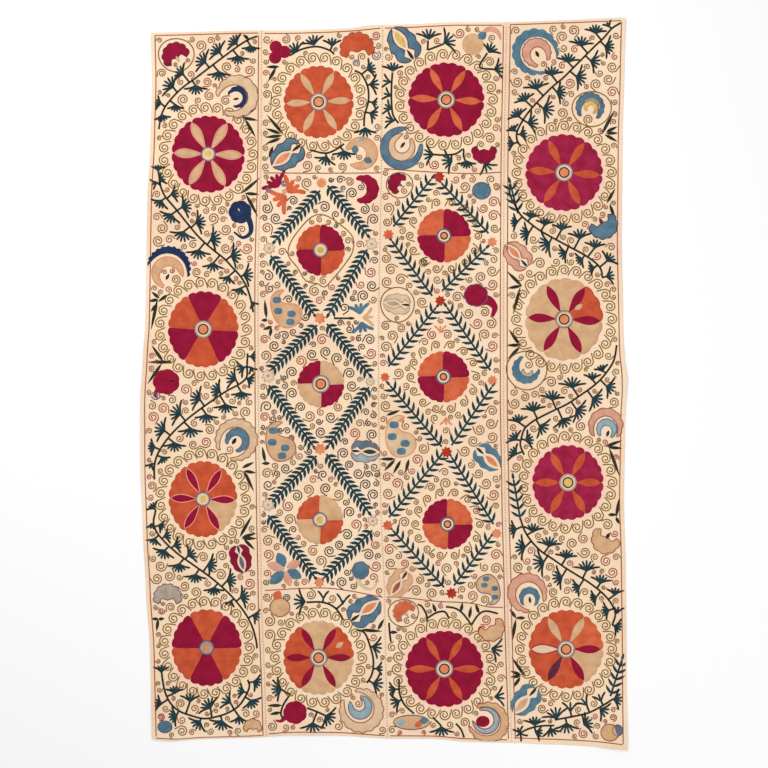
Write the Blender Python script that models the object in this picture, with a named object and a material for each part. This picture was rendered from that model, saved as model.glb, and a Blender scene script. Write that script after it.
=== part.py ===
"""A suzani: four strips of hand-loomed cotton, embroidered in silk, sewn edge to edge and laid flat.

Metres, +Z up. +Y points to the top edge and +X to the right edge of the cloth, seen from above.
The origin is under the middle of the cloth, on the surface that it lies on.
"""

import math

import bmesh
import bpy
from mathutils import Vector
from mathutils.geometry import delaunay_2d_cdt

CLOTH_THICKNESS = 0.0016
HEM_THICKNESS = 0.0024
HEM_WIDTH = 0.012
SEAM_FOLD_THICKNESS = 0.0021
SEAM_FOLD_WIDTH = 0.007
FOLD_STEP = 0.003
SEAM_GAP = 0.0003
ROSETTE_RELIEF = 0.0008
ROSETTE_BEVEL = 0.003
ROSETTE_SIDES = 30
GRID_STEP_ACROSS = 0.040
GRID_STEP_ALONG = 0.050
CLEAR_OF_ROSETTE = 0.012
CDT_EPSILON = 1e-6
CDT_TRIANGLES = 1

# The upright lines of the cloth, as (y, x) from its bottom edge to its top edge.
LEFT_EDGE = (
    (-1.150, -0.741), (-0.853, -0.748), (-0.661, -0.761), (-0.469, -0.771), (-0.277, -0.777), (-0.053, -0.778),
    (0.075, -0.771), (0.203, -0.763), (0.395, -0.760), (0.587, -0.757), (0.779, -0.747), (0.971, -0.742),
    (1.125, -0.745),
)
LEFT_SEAM = (
    (-1.150, -0.376), (-1.010, -0.380), (-0.690, -0.392), (-0.370, -0.398), (-0.050, -0.402), (0.330, -0.403),
    (0.750, -0.393), (1.150, -0.391),
)
CENTRE_SEAM = (
    (-1.150, 0.011), (-0.690, 0.002), (-0.370, -0.011), (-0.050, -0.018), (0.270, -0.016), (0.680, -0.008),
    (1.150, -0.004),
)
RIGHT_SEAM = (
    (-1.150, 0.408), (-0.690, 0.395), (-0.370, 0.387), (-0.050, 0.382), (0.270, 0.382), (0.680, 0.384),
    (1.160, 0.392),
)
RIGHT_EDGE = (
    (-1.170, 0.778), (-0.853, 0.776), (-0.565, 0.773), (-0.373, 0.767), (-0.085, 0.772), (0.011, 0.777),
    (0.075, 0.768), (0.203, 0.765), (0.443, 0.760), (0.779, 0.763), (0.971, 0.769), (1.170, 0.773),
)

# The cross lines of the cloth, as (x, y) from its left edge to its right edge.
BOTTOM_EDGE = (
    (-0.760, -1.134), (-0.683, -1.141), (-0.555, -1.134), (-0.427, -1.131), (-0.299, -1.122), (-0.171, -1.122),
    (0.021, -1.134), (0.149, -1.134), (0.277, -1.144), (0.405, -1.147), (0.533, -1.152), (0.661, -1.157),
    (0.757, -1.168), (0.780, -1.170),
)
TOP_EDGE = (
    (-0.760, 1.122), (-0.427, 1.131), (-0.299, 1.131), (-0.107, 1.137), (-0.043, 1.146), (0.085, 1.150),
    (0.213, 1.157), (0.405, 1.157), (0.597, 1.163), (0.780, 1.170),
)

# Where the cloth lifts off the surface, as (x, y, half width, half length, height).
RIPPLES = (
    (0.765, 0.015, 0.120, 0.150, 0.0050),
    (-0.760, -0.160, 0.100, 0.380, 0.0040),
    (-0.045, 1.130, 0.110, 0.120, 0.0030),
    (0.750, -1.140, 0.150, 0.170, 0.0050),
    (-0.730, 1.110, 0.130, 0.150, 0.0035),
    (-0.735, -1.110, 0.130, 0.160, 0.0030),
    (-0.020, 0.250, 0.070, 0.270, 0.0022),
    (0.385, -0.350, 0.070, 0.320, 0.0022),
    (-0.400, 0.050, 0.080, 0.360, 0.0026),
    (-0.250, -1.120, 0.180, 0.100, 0.0030),
    (0.700, 1.150, 0.170, 0.130, 0.0030),
)

# The solid silk rosettes, which stand a little proud of the cotton, as (x, y, half width, half length).
ROSETTES = (
    (-0.562, 0.735, 0.118, 0.124), (-0.578, 0.175, 0.114, 0.123), (-0.579, -0.368, 0.111, 0.123),
    (-0.567, -0.843, 0.113, 0.124),
    (0.576, 0.676, 0.125, 0.124), (0.576, 0.207, 0.126, 0.133), (0.588, -0.315, 0.115, 0.121),
    (0.582, -0.850, 0.121, 0.127),
    (-0.209, 0.902, 0.113, 0.117), (0.199, 0.909, 0.123, 0.120), (-0.210, -0.882, 0.114, 0.120),
    (0.193, -0.911, 0.126, 0.123),
    (-0.203, 0.428, 0.079, 0.083), (-0.202, 0.000, 0.076, 0.076), (-0.202, -0.437, 0.076, 0.080),
    (0.192, 0.474, 0.087, 0.087), (0.190, 0.023, 0.084, 0.083), (0.202, -0.448, 0.082, 0.082),
)

COTTON_COLOUR = (0.76, 0.60, 0.42, 1.0)
COTTON_ROUGHNESS = 0.9


def clear_scene():
    for old in list(bpy.data.objects):
        bpy.data.objects.remove(old)


def read_line(line, place):
    """The line's value at a place, on a smooth curve through its points that doesn't overshoot them."""
    if place <= line[0][0]:
        return line[0][1]
    for (start, before), (end, after) in zip(line, line[1:]):
        if place <= end:
            share = (place - start) / (end - start)
            eased = share * share * (3 - 2 * share)
            return before + (after - before) * (share + eased) / 2
    return line[-1][1]


def ripple_height(x, y):
    """How high the underside of the cloth is above the surface: 0 nearly everywhere."""
    height = 0.0
    for centre_x, centre_y, half_width, half_length, top in RIPPLES:
        away = ((x - centre_x) / half_width) ** 2 + ((y - centre_y) / half_length) ** 2
        if away < 1:
            height = max(height, top * (1 - away) ** 2)
    return height


def stations(start_fold, end_fold, length, step):
    """Places along a strip's side, from 0 to length, with a close pair at each turned fold."""
    first, last = start_fold + FOLD_STEP, length - end_fold - FOLD_STEP
    count = max(2, round((last - first) / step))
    inner = [first + (last - first) * i / count for i in range(count + 1)]
    return [0.0, start_fold, *inner, length - end_fold, length]


class Strip:
    """One loom width of cotton, with its folds at the seams and its hems at the cloth's edges."""

    def __init__(self, name, left_line, right_line, left_fold, right_fold):
        self.name = name
        self.left_line, self.right_line = left_line, right_line
        self.left_fold, self.right_fold = left_fold, right_fold
        self.left_gap = SEAM_GAP / 2 if left_fold is SEAM else 0.0
        self.right_gap = SEAM_GAP / 2 if right_fold is SEAM else 0.0

    def point(self, across, along):
        """The plan position for a share across the strip and a share along it."""
        y = BOTTOM_EDGE[0][1] + (TOP_EDGE[0][1] - BOTTOM_EDGE[0][1]) * along
        left = read_line(self.left_line, y) + self.left_gap
        right = read_line(self.right_line, y) - self.right_gap
        x = left + (right - left) * across
        bottom, top = read_line(BOTTOM_EDGE, x), read_line(TOP_EDGE, x)
        return x, bottom + (top - bottom) * along

    def columns(self):
        width = self.point(1, 0.5)[0] - self.point(0, 0.5)[0]
        places = stations(self.left_fold.width, self.right_fold.width, width, GRID_STEP_ACROSS)
        return [place / width for place in places]

    def rows(self):
        length = self.point(0.5, 1)[1] - self.point(0.5, 0)[1]
        places = stations(HEM_WIDTH, HEM_WIDTH, length, GRID_STEP_ALONG)
        return [place / length for place in places]

    def layer_thickness(self, column, row, columns, rows):
        """The cloth is thicker where it is turned under: at the hems and beside the seams."""
        found = [CLOTH_THICKNESS]
        if column < 2:
            found.append(self.left_fold.thickness)
        if column > columns - 3:
            found.append(self.right_fold.thickness)
        if row < 2 or row > rows - 3:
            found.append(HEM_THICKNESS)
        return max(found)


class Fold:
    """The turned edge of a strip."""

    def __init__(self, width, thickness):
        self.width, self.thickness = width, thickness


HEM = Fold(HEM_WIDTH, HEM_THICKNESS)
SEAM = Fold(SEAM_FOLD_WIDTH, SEAM_FOLD_THICKNESS)


def rosettes_on(strip):
    found = []
    for x, y, half_width, half_length in ROSETTES:
        if read_line(strip.left_line, y) < x < read_line(strip.right_line, y):
            found.append((x, y, half_width, half_length))
    return found


def ring(x, y, half_width, half_length):
    """The corners of a rosette's outline."""
    turns = [2 * math.pi * i / ROSETTE_SIDES for i in range(ROSETTE_SIDES)]
    return [(x + half_width * math.cos(turn), y + half_length * math.sin(turn)) for turn in turns]


def loop_edges(first, count):
    return [(first + i, first + (i + 1) % count) for i in range(count)]


def surface(points, edges, heights):
    """Triangles over plan points, kept to the given edges, as (3-D corners, faces)."""
    flat = [Vector(p) for p in points]
    made, _, faces, origins, _, _ = delaunay_2d_cdt(flat, edges, [], CDT_TRIANGLES, CDT_EPSILON)
    corners = [(p.x, p.y, heights[origin[0]]) for p, origin in zip(made, origins)]
    return corners, faces


def grid_of(strip):
    """The strip's plan grid, as (points, thicknesses, indices round its rim)."""
    columns, rows = strip.columns(), strip.rows()
    wide, long = len(columns), len(rows)
    points, layers = [], []
    for row, along in enumerate(rows):
        for column, across in enumerate(columns):
            points.append(strip.point(across, along))
            layers.append(strip.layer_thickness(column, row, wide, long))
    rim = list(range(wide))
    rim += [row * wide + wide - 1 for row in range(1, long)]
    rim += [(long - 1) * wide + column for column in range(wide - 2, -1, -1)]
    rim += [row * wide for row in range(long - 2, 0, -1)]
    return points, layers, rim


def clear_of(point, rosettes):
    for x, y, half_width, half_length in rosettes:
        if math.dist(point, (x, y)) < max(half_width, half_length) + CLEAR_OF_ROSETTE:
            return False
    return True


def top_face(strip, points, layers, rim):
    """The upper face: the grid outside the rosettes, and each rosette's bevelled pad."""
    rosettes, on_rim = rosettes_on(strip), set(rim)
    kept, heights, place = [], [], {}
    for index, (point, layer) in enumerate(zip(points, layers)):
        if index in on_rim or clear_of(point, rosettes):
            place[index] = len(kept)
            kept.append(point)
            heights.append(ripple_height(*point) + layer)
    edges = [(place[a], place[b]) for a, b in zip(rim, rim[1:] + rim[:1])]
    for x, y, half_width, half_length in rosettes:
        for inset, relief in ((0.0, 0.0), (ROSETTE_BEVEL, ROSETTE_RELIEF)):
            edges += loop_edges(len(kept), ROSETTE_SIDES)
            for point in ring(x, y, half_width - inset, half_length - inset):
                kept.append(point)
                heights.append(ripple_height(*point) + CLOTH_THICKNESS + relief)
        kept.append((x, y))
        heights.append(ripple_height(x, y) + CLOTH_THICKNESS + ROSETTE_RELIEF)
    return surface(kept, edges, heights)


def underside(points, rim):
    heights = [ripple_height(*point) for point in points]
    edges = list(zip(rim, rim[1:] + rim[:1]))
    return surface(points, edges, heights)


def add_faces(mesh, corners, faces, flip):
    made = [mesh.verts.new(corner) for corner in corners]
    for face in faces:
        order = reversed(face) if flip else face
        mesh.faces.new([made[i] for i in order])
    return made


def close_sides(mesh):
    """Joins the upper face's rim to the underside's rim with upright walls."""
    rims = [edge for edge in mesh.edges if edge.is_boundary]
    bmesh.ops.bridge_loops(mesh, edges=rims)


def cotton_material():
    material = bpy.data.materials.new("hand_loomed_cotton")
    material.use_nodes = True
    shader = material.node_tree.nodes["Principled BSDF"]
    shader.inputs["Base Color"].default_value = COTTON_COLOUR
    shader.inputs["Roughness"].default_value = COTTON_ROUGHNESS
    shader.inputs["Metallic"].default_value = 0.0
    return material


def make_strip(strip, material):
    points, layers, rim = grid_of(strip)
    mesh = bmesh.new()
    add_faces(mesh, *top_face(strip, points, layers, rim), flip=False)
    add_faces(mesh, *underside(points, rim), flip=True)
    close_sides(mesh)
    bmesh.ops.recalc_face_normals(mesh, faces=mesh.faces)
    data = bpy.data.meshes.new(strip.name)
    mesh.to_mesh(data)
    mesh.free()
    data.materials.append(material)
    made = bpy.data.objects.new(strip.name, data)
    bpy.context.scene.collection.objects.link(made)
    return made


def main():
    clear_scene()
    cotton = cotton_material()
    strips = (
        Strip("strip_left_border", LEFT_EDGE, LEFT_SEAM, HEM, SEAM),
        Strip("strip_centre_left", LEFT_SEAM, CENTRE_SEAM, SEAM, SEAM),
        Strip("strip_centre_right", CENTRE_SEAM, RIGHT_SEAM, SEAM, SEAM),
        Strip("strip_right_border", RIGHT_SEAM, RIGHT_EDGE, SEAM, HEM),
    )
    for strip in strips:
        make_strip(strip, cotton)


main()
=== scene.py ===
"""The suzani, dressed: cotton strips with couched silk rosettes, flowers, vines and scrolls in relief.

Metres, +Z up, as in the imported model. The layout tables are in centimetres from the middle of the cloth,
+X to the right edge and +Y to the top edge, and angles are in degrees anticlockwise from +X.
"""

import math

import bpy
import numpy as np
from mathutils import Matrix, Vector, kdtree
from mathutils.geometry import delaunay_2d_cdt


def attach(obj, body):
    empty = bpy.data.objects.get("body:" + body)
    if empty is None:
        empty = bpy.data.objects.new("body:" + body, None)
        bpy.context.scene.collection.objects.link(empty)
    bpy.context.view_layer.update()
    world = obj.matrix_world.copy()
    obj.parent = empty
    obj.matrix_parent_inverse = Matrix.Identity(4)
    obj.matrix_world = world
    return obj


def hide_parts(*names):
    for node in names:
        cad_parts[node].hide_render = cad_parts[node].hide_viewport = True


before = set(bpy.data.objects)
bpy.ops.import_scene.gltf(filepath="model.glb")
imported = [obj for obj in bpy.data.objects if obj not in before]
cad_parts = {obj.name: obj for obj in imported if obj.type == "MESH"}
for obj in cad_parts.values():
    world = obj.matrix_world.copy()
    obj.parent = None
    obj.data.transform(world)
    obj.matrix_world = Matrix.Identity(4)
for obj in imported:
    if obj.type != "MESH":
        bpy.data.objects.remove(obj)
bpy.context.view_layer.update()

CM = 0.01
SEED = 7
CLOTH_THICKNESS = 0.0016
HEM_RISE = 0.0008
HEM_WIDTH = 0.012
SEAM_RISE = 0.0005
SEAM_FOLD_WIDTH = 0.007
FOLD_STEP = 0.003
SEAM_GAP = 0.0003
EDGE_ROUND = 0.0012
CDT_EPSILON = 1e-6
CDT_TRIANGLES = 1
GROUND_STEP = 0.010
SCROLL_WIDTH = 0.46
SCROLL_HEIGHT = 0.0009
THIN_SCROLL_WIDTH = 0.34
OUTLINE_WIDTH = 0.34
OUTLINE_HEIGHT = 0.0015
STEM_WIDTH = 0.74
STEM_HEIGHT = 0.0010
LEAF_HEIGHT = 0.0011
PAD_HEIGHT = 0.0012
PAD_SINK = 0.0004
END_STEP = 0.06
EDGE_KEEP = 0.004
LAYER_STEP = 0.0004
LINE_PROFILE = ((-1.0, 0.0), (-0.6, 0.9), (0.6, 0.9), (1.0, 0.0))
LEAF_PROFILE = ((-1.0, 0.0), (-0.55, 0.85), (0.55, 0.85), (1.0, 0.0))
THREAD_PITCH = 0.0014
COUCH_LENGTH = 0.008
WARP_PITCH = 0.0011
WEFT_PITCH = 0.0013
FLOOR_SIZE = 12.0
FLOOR_DROP = -0.0004
WORLD_LIGHT = 0.64
SOFT_LIGHTS = (((-1.6, 2.2, 3.2), 2.6, 78.0), ((1.8, -1.4, 3.6), 3.0, 50.0))
FILL_GRID = 0.4
FILL_MARGIN = 0.28
FILL_SMALLEST = 0.75
FILL_LARGEST = 1.9
FILL_MOST = 1500
EDGE_ROOM = 0.017
SEAM_STITCH_STEP = 0.009
SEAM_STITCH_REACH = 0.0035
SEAM_STITCH_LEAN = 0.0012
SEAM_STITCH_HEIGHT = 0.0008
CAMERA_HEIGHT = 5.8
CAMERA_LENS = 85.0
CAMERA_SENSOR = 36.0

# Main tone and second tone of each thread, as 8-bit screen colours.
THREADS = {
    "crimson": ((156, 2, 54), (136, 0, 42)),
    "rose": ((168, 30, 72), (148, 16, 54)),
    "orange": ((208, 90, 54), (190, 74, 42)),
    "apricot": ((218, 108, 68), (202, 90, 54)),
    "tan": ((220, 178, 136), (206, 162, 120)),
    "pale": ((226, 196, 160), (212, 180, 142)),
    "cream": ((234, 208, 176), (226, 196, 164)),
    "gold": ((232, 196, 108), (206, 164, 80)),
    "salmon": ((232, 148, 104), (216, 128, 88)),
    "pink": ((224, 168, 144), (210, 150, 124)),
    "blush": ((242, 172, 150), (234, 156, 136)),
    "blue": ((92, 128, 144), (76, 108, 128)),
    "sky": ((158, 180, 184), (136, 164, 172)),
    "navy": ((34, 54, 92), (22, 40, 76)),
    "grey": ((186, 168, 150), (164, 146, 132)),
    "slate": ((112, 104, 122), (90, 84, 104)),
    "plum": ((106, 40, 66), (84, 28, 52)),
    "red": ((184, 54, 36), (160, 40, 28)),
    "teal": ((30, 66, 74), (20, 48, 58)),
    "olive": ((52, 50, 34), (36, 34, 26)),
    "black": ((40, 28, 24), (26, 18, 18)),
    "ochre": ((146, 106, 60), (126, 88, 48)),
    "brown": ((86, 60, 46), (66, 44, 34)),
    "russet": ((168, 96, 72), (148, 78, 58)),
    "thread": ((206, 182, 152), (190, 164, 134)),
}
SLOTS = {
    "crimson": "silk_crimson", "rose": "silk_crimson", "orange": "silk_orange", "apricot": "silk_orange",
    "red": "silk_orange", "salmon": "silk_orange", "tan": "silk_tan", "pale": "silk_tan", "cream": "silk_tan",
    "gold": "silk_tan", "pink": "silk_pink", "blush": "silk_pink", "blue": "silk_blue", "sky": "silk_blue",
    "navy": "silk_navy", "grey": "silk_tan", "slate": "silk_navy", "plum": "silk_dark", "teal": "silk_leaf",
    "olive": "silk_leaf", "black": "silk_dark", "ochre": "silk_scroll", "brown": "silk_dark",
    "russet": "silk_line", "thread": "sewing_thread",
}

# The upright lines of the cloth in metres, as (y, x) from its bottom edge to its top edge.
LEFT_EDGE = (
    (-1.150, -0.741), (-0.853, -0.748), (-0.661, -0.761), (-0.469, -0.771), (-0.277, -0.777), (-0.053, -0.778),
    (0.075, -0.771), (0.203, -0.763), (0.395, -0.760), (0.587, -0.757), (0.779, -0.747), (0.971, -0.742),
    (1.125, -0.745),
)
LEFT_SEAM = (
    (-1.150, -0.376), (-1.010, -0.380), (-0.690, -0.392), (-0.370, -0.398), (-0.050, -0.402), (0.330, -0.403),
    (0.750, -0.393), (1.150, -0.391),
)
CENTRE_SEAM = (
    (-1.150, 0.011), (-0.690, 0.002), (-0.370, -0.011), (-0.050, -0.018), (0.270, -0.016), (0.680, -0.008),
    (1.150, -0.004),
)
RIGHT_SEAM = (
    (-1.150, 0.408), (-0.690, 0.395), (-0.370, 0.387), (-0.050, 0.382), (0.270, 0.382), (0.680, 0.384),
    (1.160, 0.392),
)
RIGHT_EDGE = (
    (-1.170, 0.778), (-0.853, 0.776), (-0.565, 0.773), (-0.373, 0.767), (-0.085, 0.772), (0.011, 0.777),
    (0.075, 0.768), (0.203, 0.765), (0.443, 0.760), (0.779, 0.763), (0.971, 0.769), (1.170, 0.773),
)

# The cross lines of the cloth in metres, as (x, y) from its left edge to its right edge.
BOTTOM_EDGE = (
    (-0.760, -1.134), (-0.683, -1.141), (-0.555, -1.134), (-0.427, -1.131), (-0.299, -1.122), (-0.171, -1.122),
    (0.021, -1.134), (0.149, -1.134), (0.277, -1.144), (0.405, -1.147), (0.533, -1.152), (0.661, -1.157),
    (0.757, -1.168), (0.780, -1.170),
)
TOP_EDGE = (
    (-0.760, 1.122), (-0.427, 1.131), (-0.299, 1.131), (-0.107, 1.137), (-0.043, 1.146), (0.085, 1.150),
    (0.213, 1.157), (0.405, 1.157), (0.597, 1.163), (0.780, 1.170),
)

# Where the cloth lifts off the surface in metres, as (x, y, half width, half length, height).
RIPPLES = (
    (0.765, 0.015, 0.120, 0.150, 0.0050),
    (-0.760, -0.160, 0.100, 0.380, 0.0040),
    (-0.045, 1.130, 0.110, 0.120, 0.0030),
    (0.750, -1.140, 0.150, 0.170, 0.0050),
    (-0.730, 1.110, 0.130, 0.150, 0.0035),
    (-0.735, -1.110, 0.130, 0.160, 0.0030),
    (-0.020, 0.250, 0.070, 0.270, 0.0022),
    (0.385, -0.350, 0.070, 0.320, 0.0022),
    (-0.400, 0.050, 0.080, 0.360, 0.0026),
    (-0.250, -1.120, 0.180, 0.100, 0.0030),
    (0.700, 1.150, 0.170, 0.130, 0.0030),
)

# Soft creases in metres, as (x, y, direction, half length, half width, height).
CREASES = (
    (-0.380, 0.560, 86, 0.260, 0.016, 0.0011),
    (-0.300, -0.560, 96, 0.220, 0.018, 0.0009),
    (-0.020, -0.330, 88, 0.330, 0.015, 0.0012),
    (0.060, 0.640, 74, 0.120, 0.014, 0.0009),
    (0.395, 0.420, 91, 0.300, 0.016, 0.0011),
    (0.360, 0.060, 84, 0.160, 0.013, 0.0009),
    (0.700, 0.420, 97, 0.240, 0.018, 0.0010),
    (-0.690, 0.620, 82, 0.220, 0.016, 0.0010),
    (-0.660, -0.560, 102, 0.240, 0.018, 0.0010),
    (0.690, -0.640, 84, 0.230, 0.018, 0.0010),
    (-0.080, 0.690, 3, 0.300, 0.016, 0.0009),
    (0.210, -0.690, 176, 0.260, 0.016, 0.0009),
    (-0.560, 1.060, 8, 0.160, 0.014, 0.0010),
    (0.520, -1.080, 172, 0.180, 0.014, 0.0010),
)

# The rosettes: place, half width, half length, turn, sector threads, petal threads, petal width and rings.
# A ring is (thread, outer radius), from the outside in.
GREY_EYE = (("slate", 3.0), ("grey", 2.8), ("cream", 2.4), ("black", 1.9), ("salmon", 1.5))
BLUE_EYE = (("slate", 2.5), ("grey", 2.2), ("cream", 1.9), ("gold", 1.2))
DARK_EYE = (("slate", 2.5), ("cream", 2.0), ("black", 1.4), ("salmon", 1.0))
GOLD_EYE = (("grey", 2.9), ("cream", 2.4), ("black", 1.9), ("gold", 1.5))
PALE_EYE = (("slate", 2.5), ("grey", 2.1), ("salmon", 1.2))
SIX = ("crimson",) * 6
SIX_ROSE = ("rose",) * 6
SIX_ORANGE = ("orange",) * 6
ROSETTES = (
    (-56.2, 73.5, 11.8, 12.4, -2, SIX, (("tan", "blush"),) * 6, 2.9, 4, BLUE_EYE),
    (-57.8, 17.5, 11.4, 12.3, -3, ("orange", "crimson") * 3, (), 0, 4, GREY_EYE),
    (-57.9, -36.8, 11.1, 12.3, -2, ("orange",) * 5 + ("tan",), (("crimson", "blush"),) * 6, 2.6, 4,
     BLUE_EYE),
    (-56.7, -84.3, 11.3, 12.4, 0, ("crimson", "orange") * 3, (), 0, 4, PALE_EYE),
    (57.6, 67.6, 12.5, 12.4, -4, SIX_ROSE, ("orange",) * 6, 3.0, 4, GREY_EYE),
    (57.6, 20.7, 12.6, 13.3, -3, ("orange",) + ("tan",) * 5, ("crimson",) * 6, 3.3, 3, GREY_EYE),
    (58.8, -31.5, 11.5, 12.1, 0, SIX_ROSE, ("orange",) * 6, 3.0, 4, GOLD_EYE),
    (58.2, -84.8, 12.1, 12.7, 0, ("apricot",) + ("orange",) * 4 + ("tan",),
     ("crimson", "tan", "tan", ("cream", "crimson"), "plum", "crimson"), 3.0, 4, GREY_EYE),
    (-20.9, 90.2, 11.3, 11.7, 3, SIX_ORANGE, ("tan",) * 6, 2.7, 4, GREY_EYE),
    (19.9, 90.9, 12.3, 12.0, -3, SIX, ("apricot",) * 6, 2.8, 4, GREY_EYE),
    (-20.9, -87.5, 11.4, 12.0, 0, ("orange", "tan", "orange", "orange", "tan", "tan"), ("crimson",) * 6, 2.8, 4,
     GREY_EYE),
    (19.3, -91.1, 12.6, 12.3, 0, SIX, ("orange",) * 6, 2.8, 4, GREY_EYE),
    (-20.3, 42.8, 7.9, 8.3, 0, ("crimson", "orange") * 2, (), 0, 5, BLUE_EYE),
    (-20.2, 0.0, 7.6, 7.6, 0, ("tan", "crimson") * 2, (), 0, 5, GREY_EYE),
    (-20.5, -43.4, 7.6, 8.0, 0, ("tan", "orange") * 2, (), 0, 5, BLUE_EYE),
    (19.2, 47.4, 8.7, 8.7, 0, ("crimson", "apricot") * 2, (), 0, 5, DARK_EYE),
    (19.0, 2.3, 8.4, 8.3, 0, ("crimson", "apricot") * 2, (), 0, 5, DARK_EYE),
    (20.3, -44.8, 8.2, 8.2, 0, ("apricot", "crimson") * 2, (), 0, 5, DARK_EYE),
)


# The running scrolls round the rosettes: place, half width, half length, scroll radius, number and handed.
SCROLL_RINGS = (
    (-56.2, 73.5, 14.2, 14.9, 1.9, 23, 1), (-57.8, 17.5, 13.8, 14.9, 1.9, 23, 1),
    (-57.9, -36.8, 13.6, 14.6, 1.9, 23, 1), (-56.7, -84.3, 13.6, 14.7, 1.9, 23, 1),
    (57.6, 67.6, 15.1, 14.9, 1.9, 24, -1), (57.6, 20.7, 15.2, 15.7, 1.9, 24, -1),
    (58.8, -31.5, 14.1, 14.7, 1.9, 23, -1), (58.2, -84.8, 14.6, 15.1, 1.9, 24, -1),
    (-20.9, 90.2, 13.7, 14.2, 1.9, 22, 1), (19.9, 90.9, 14.8, 14.5, 1.9, 23, -1),
    (-20.9, -87.5, 13.8, 14.3, 1.9, 22, 1), (19.3, -91.1, 15.1, 14.7, 1.9, 24, -1),
    (19.2, 47.4, 10.8, 10.8, 1.5, 14, -1), (19.0, 2.3, 10.4, 10.4, 1.5, 14, -1),
    (20.3, -44.8, 10.2, 10.2, 1.5, 14, -1),
)

# The line looped round the top centre-left rosette.
LOOP = (
    (-19, 54), (-23, 53.5), (-27, 49.5), (-30, 45), (-30.5, 41), (-27.5, 37), (-25, 33), (-21, 32), (-19, 31),
    (-16, 34), (-12, 39), (-10, 42.5), (-10, 47), (-14, 51),
)

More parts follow.
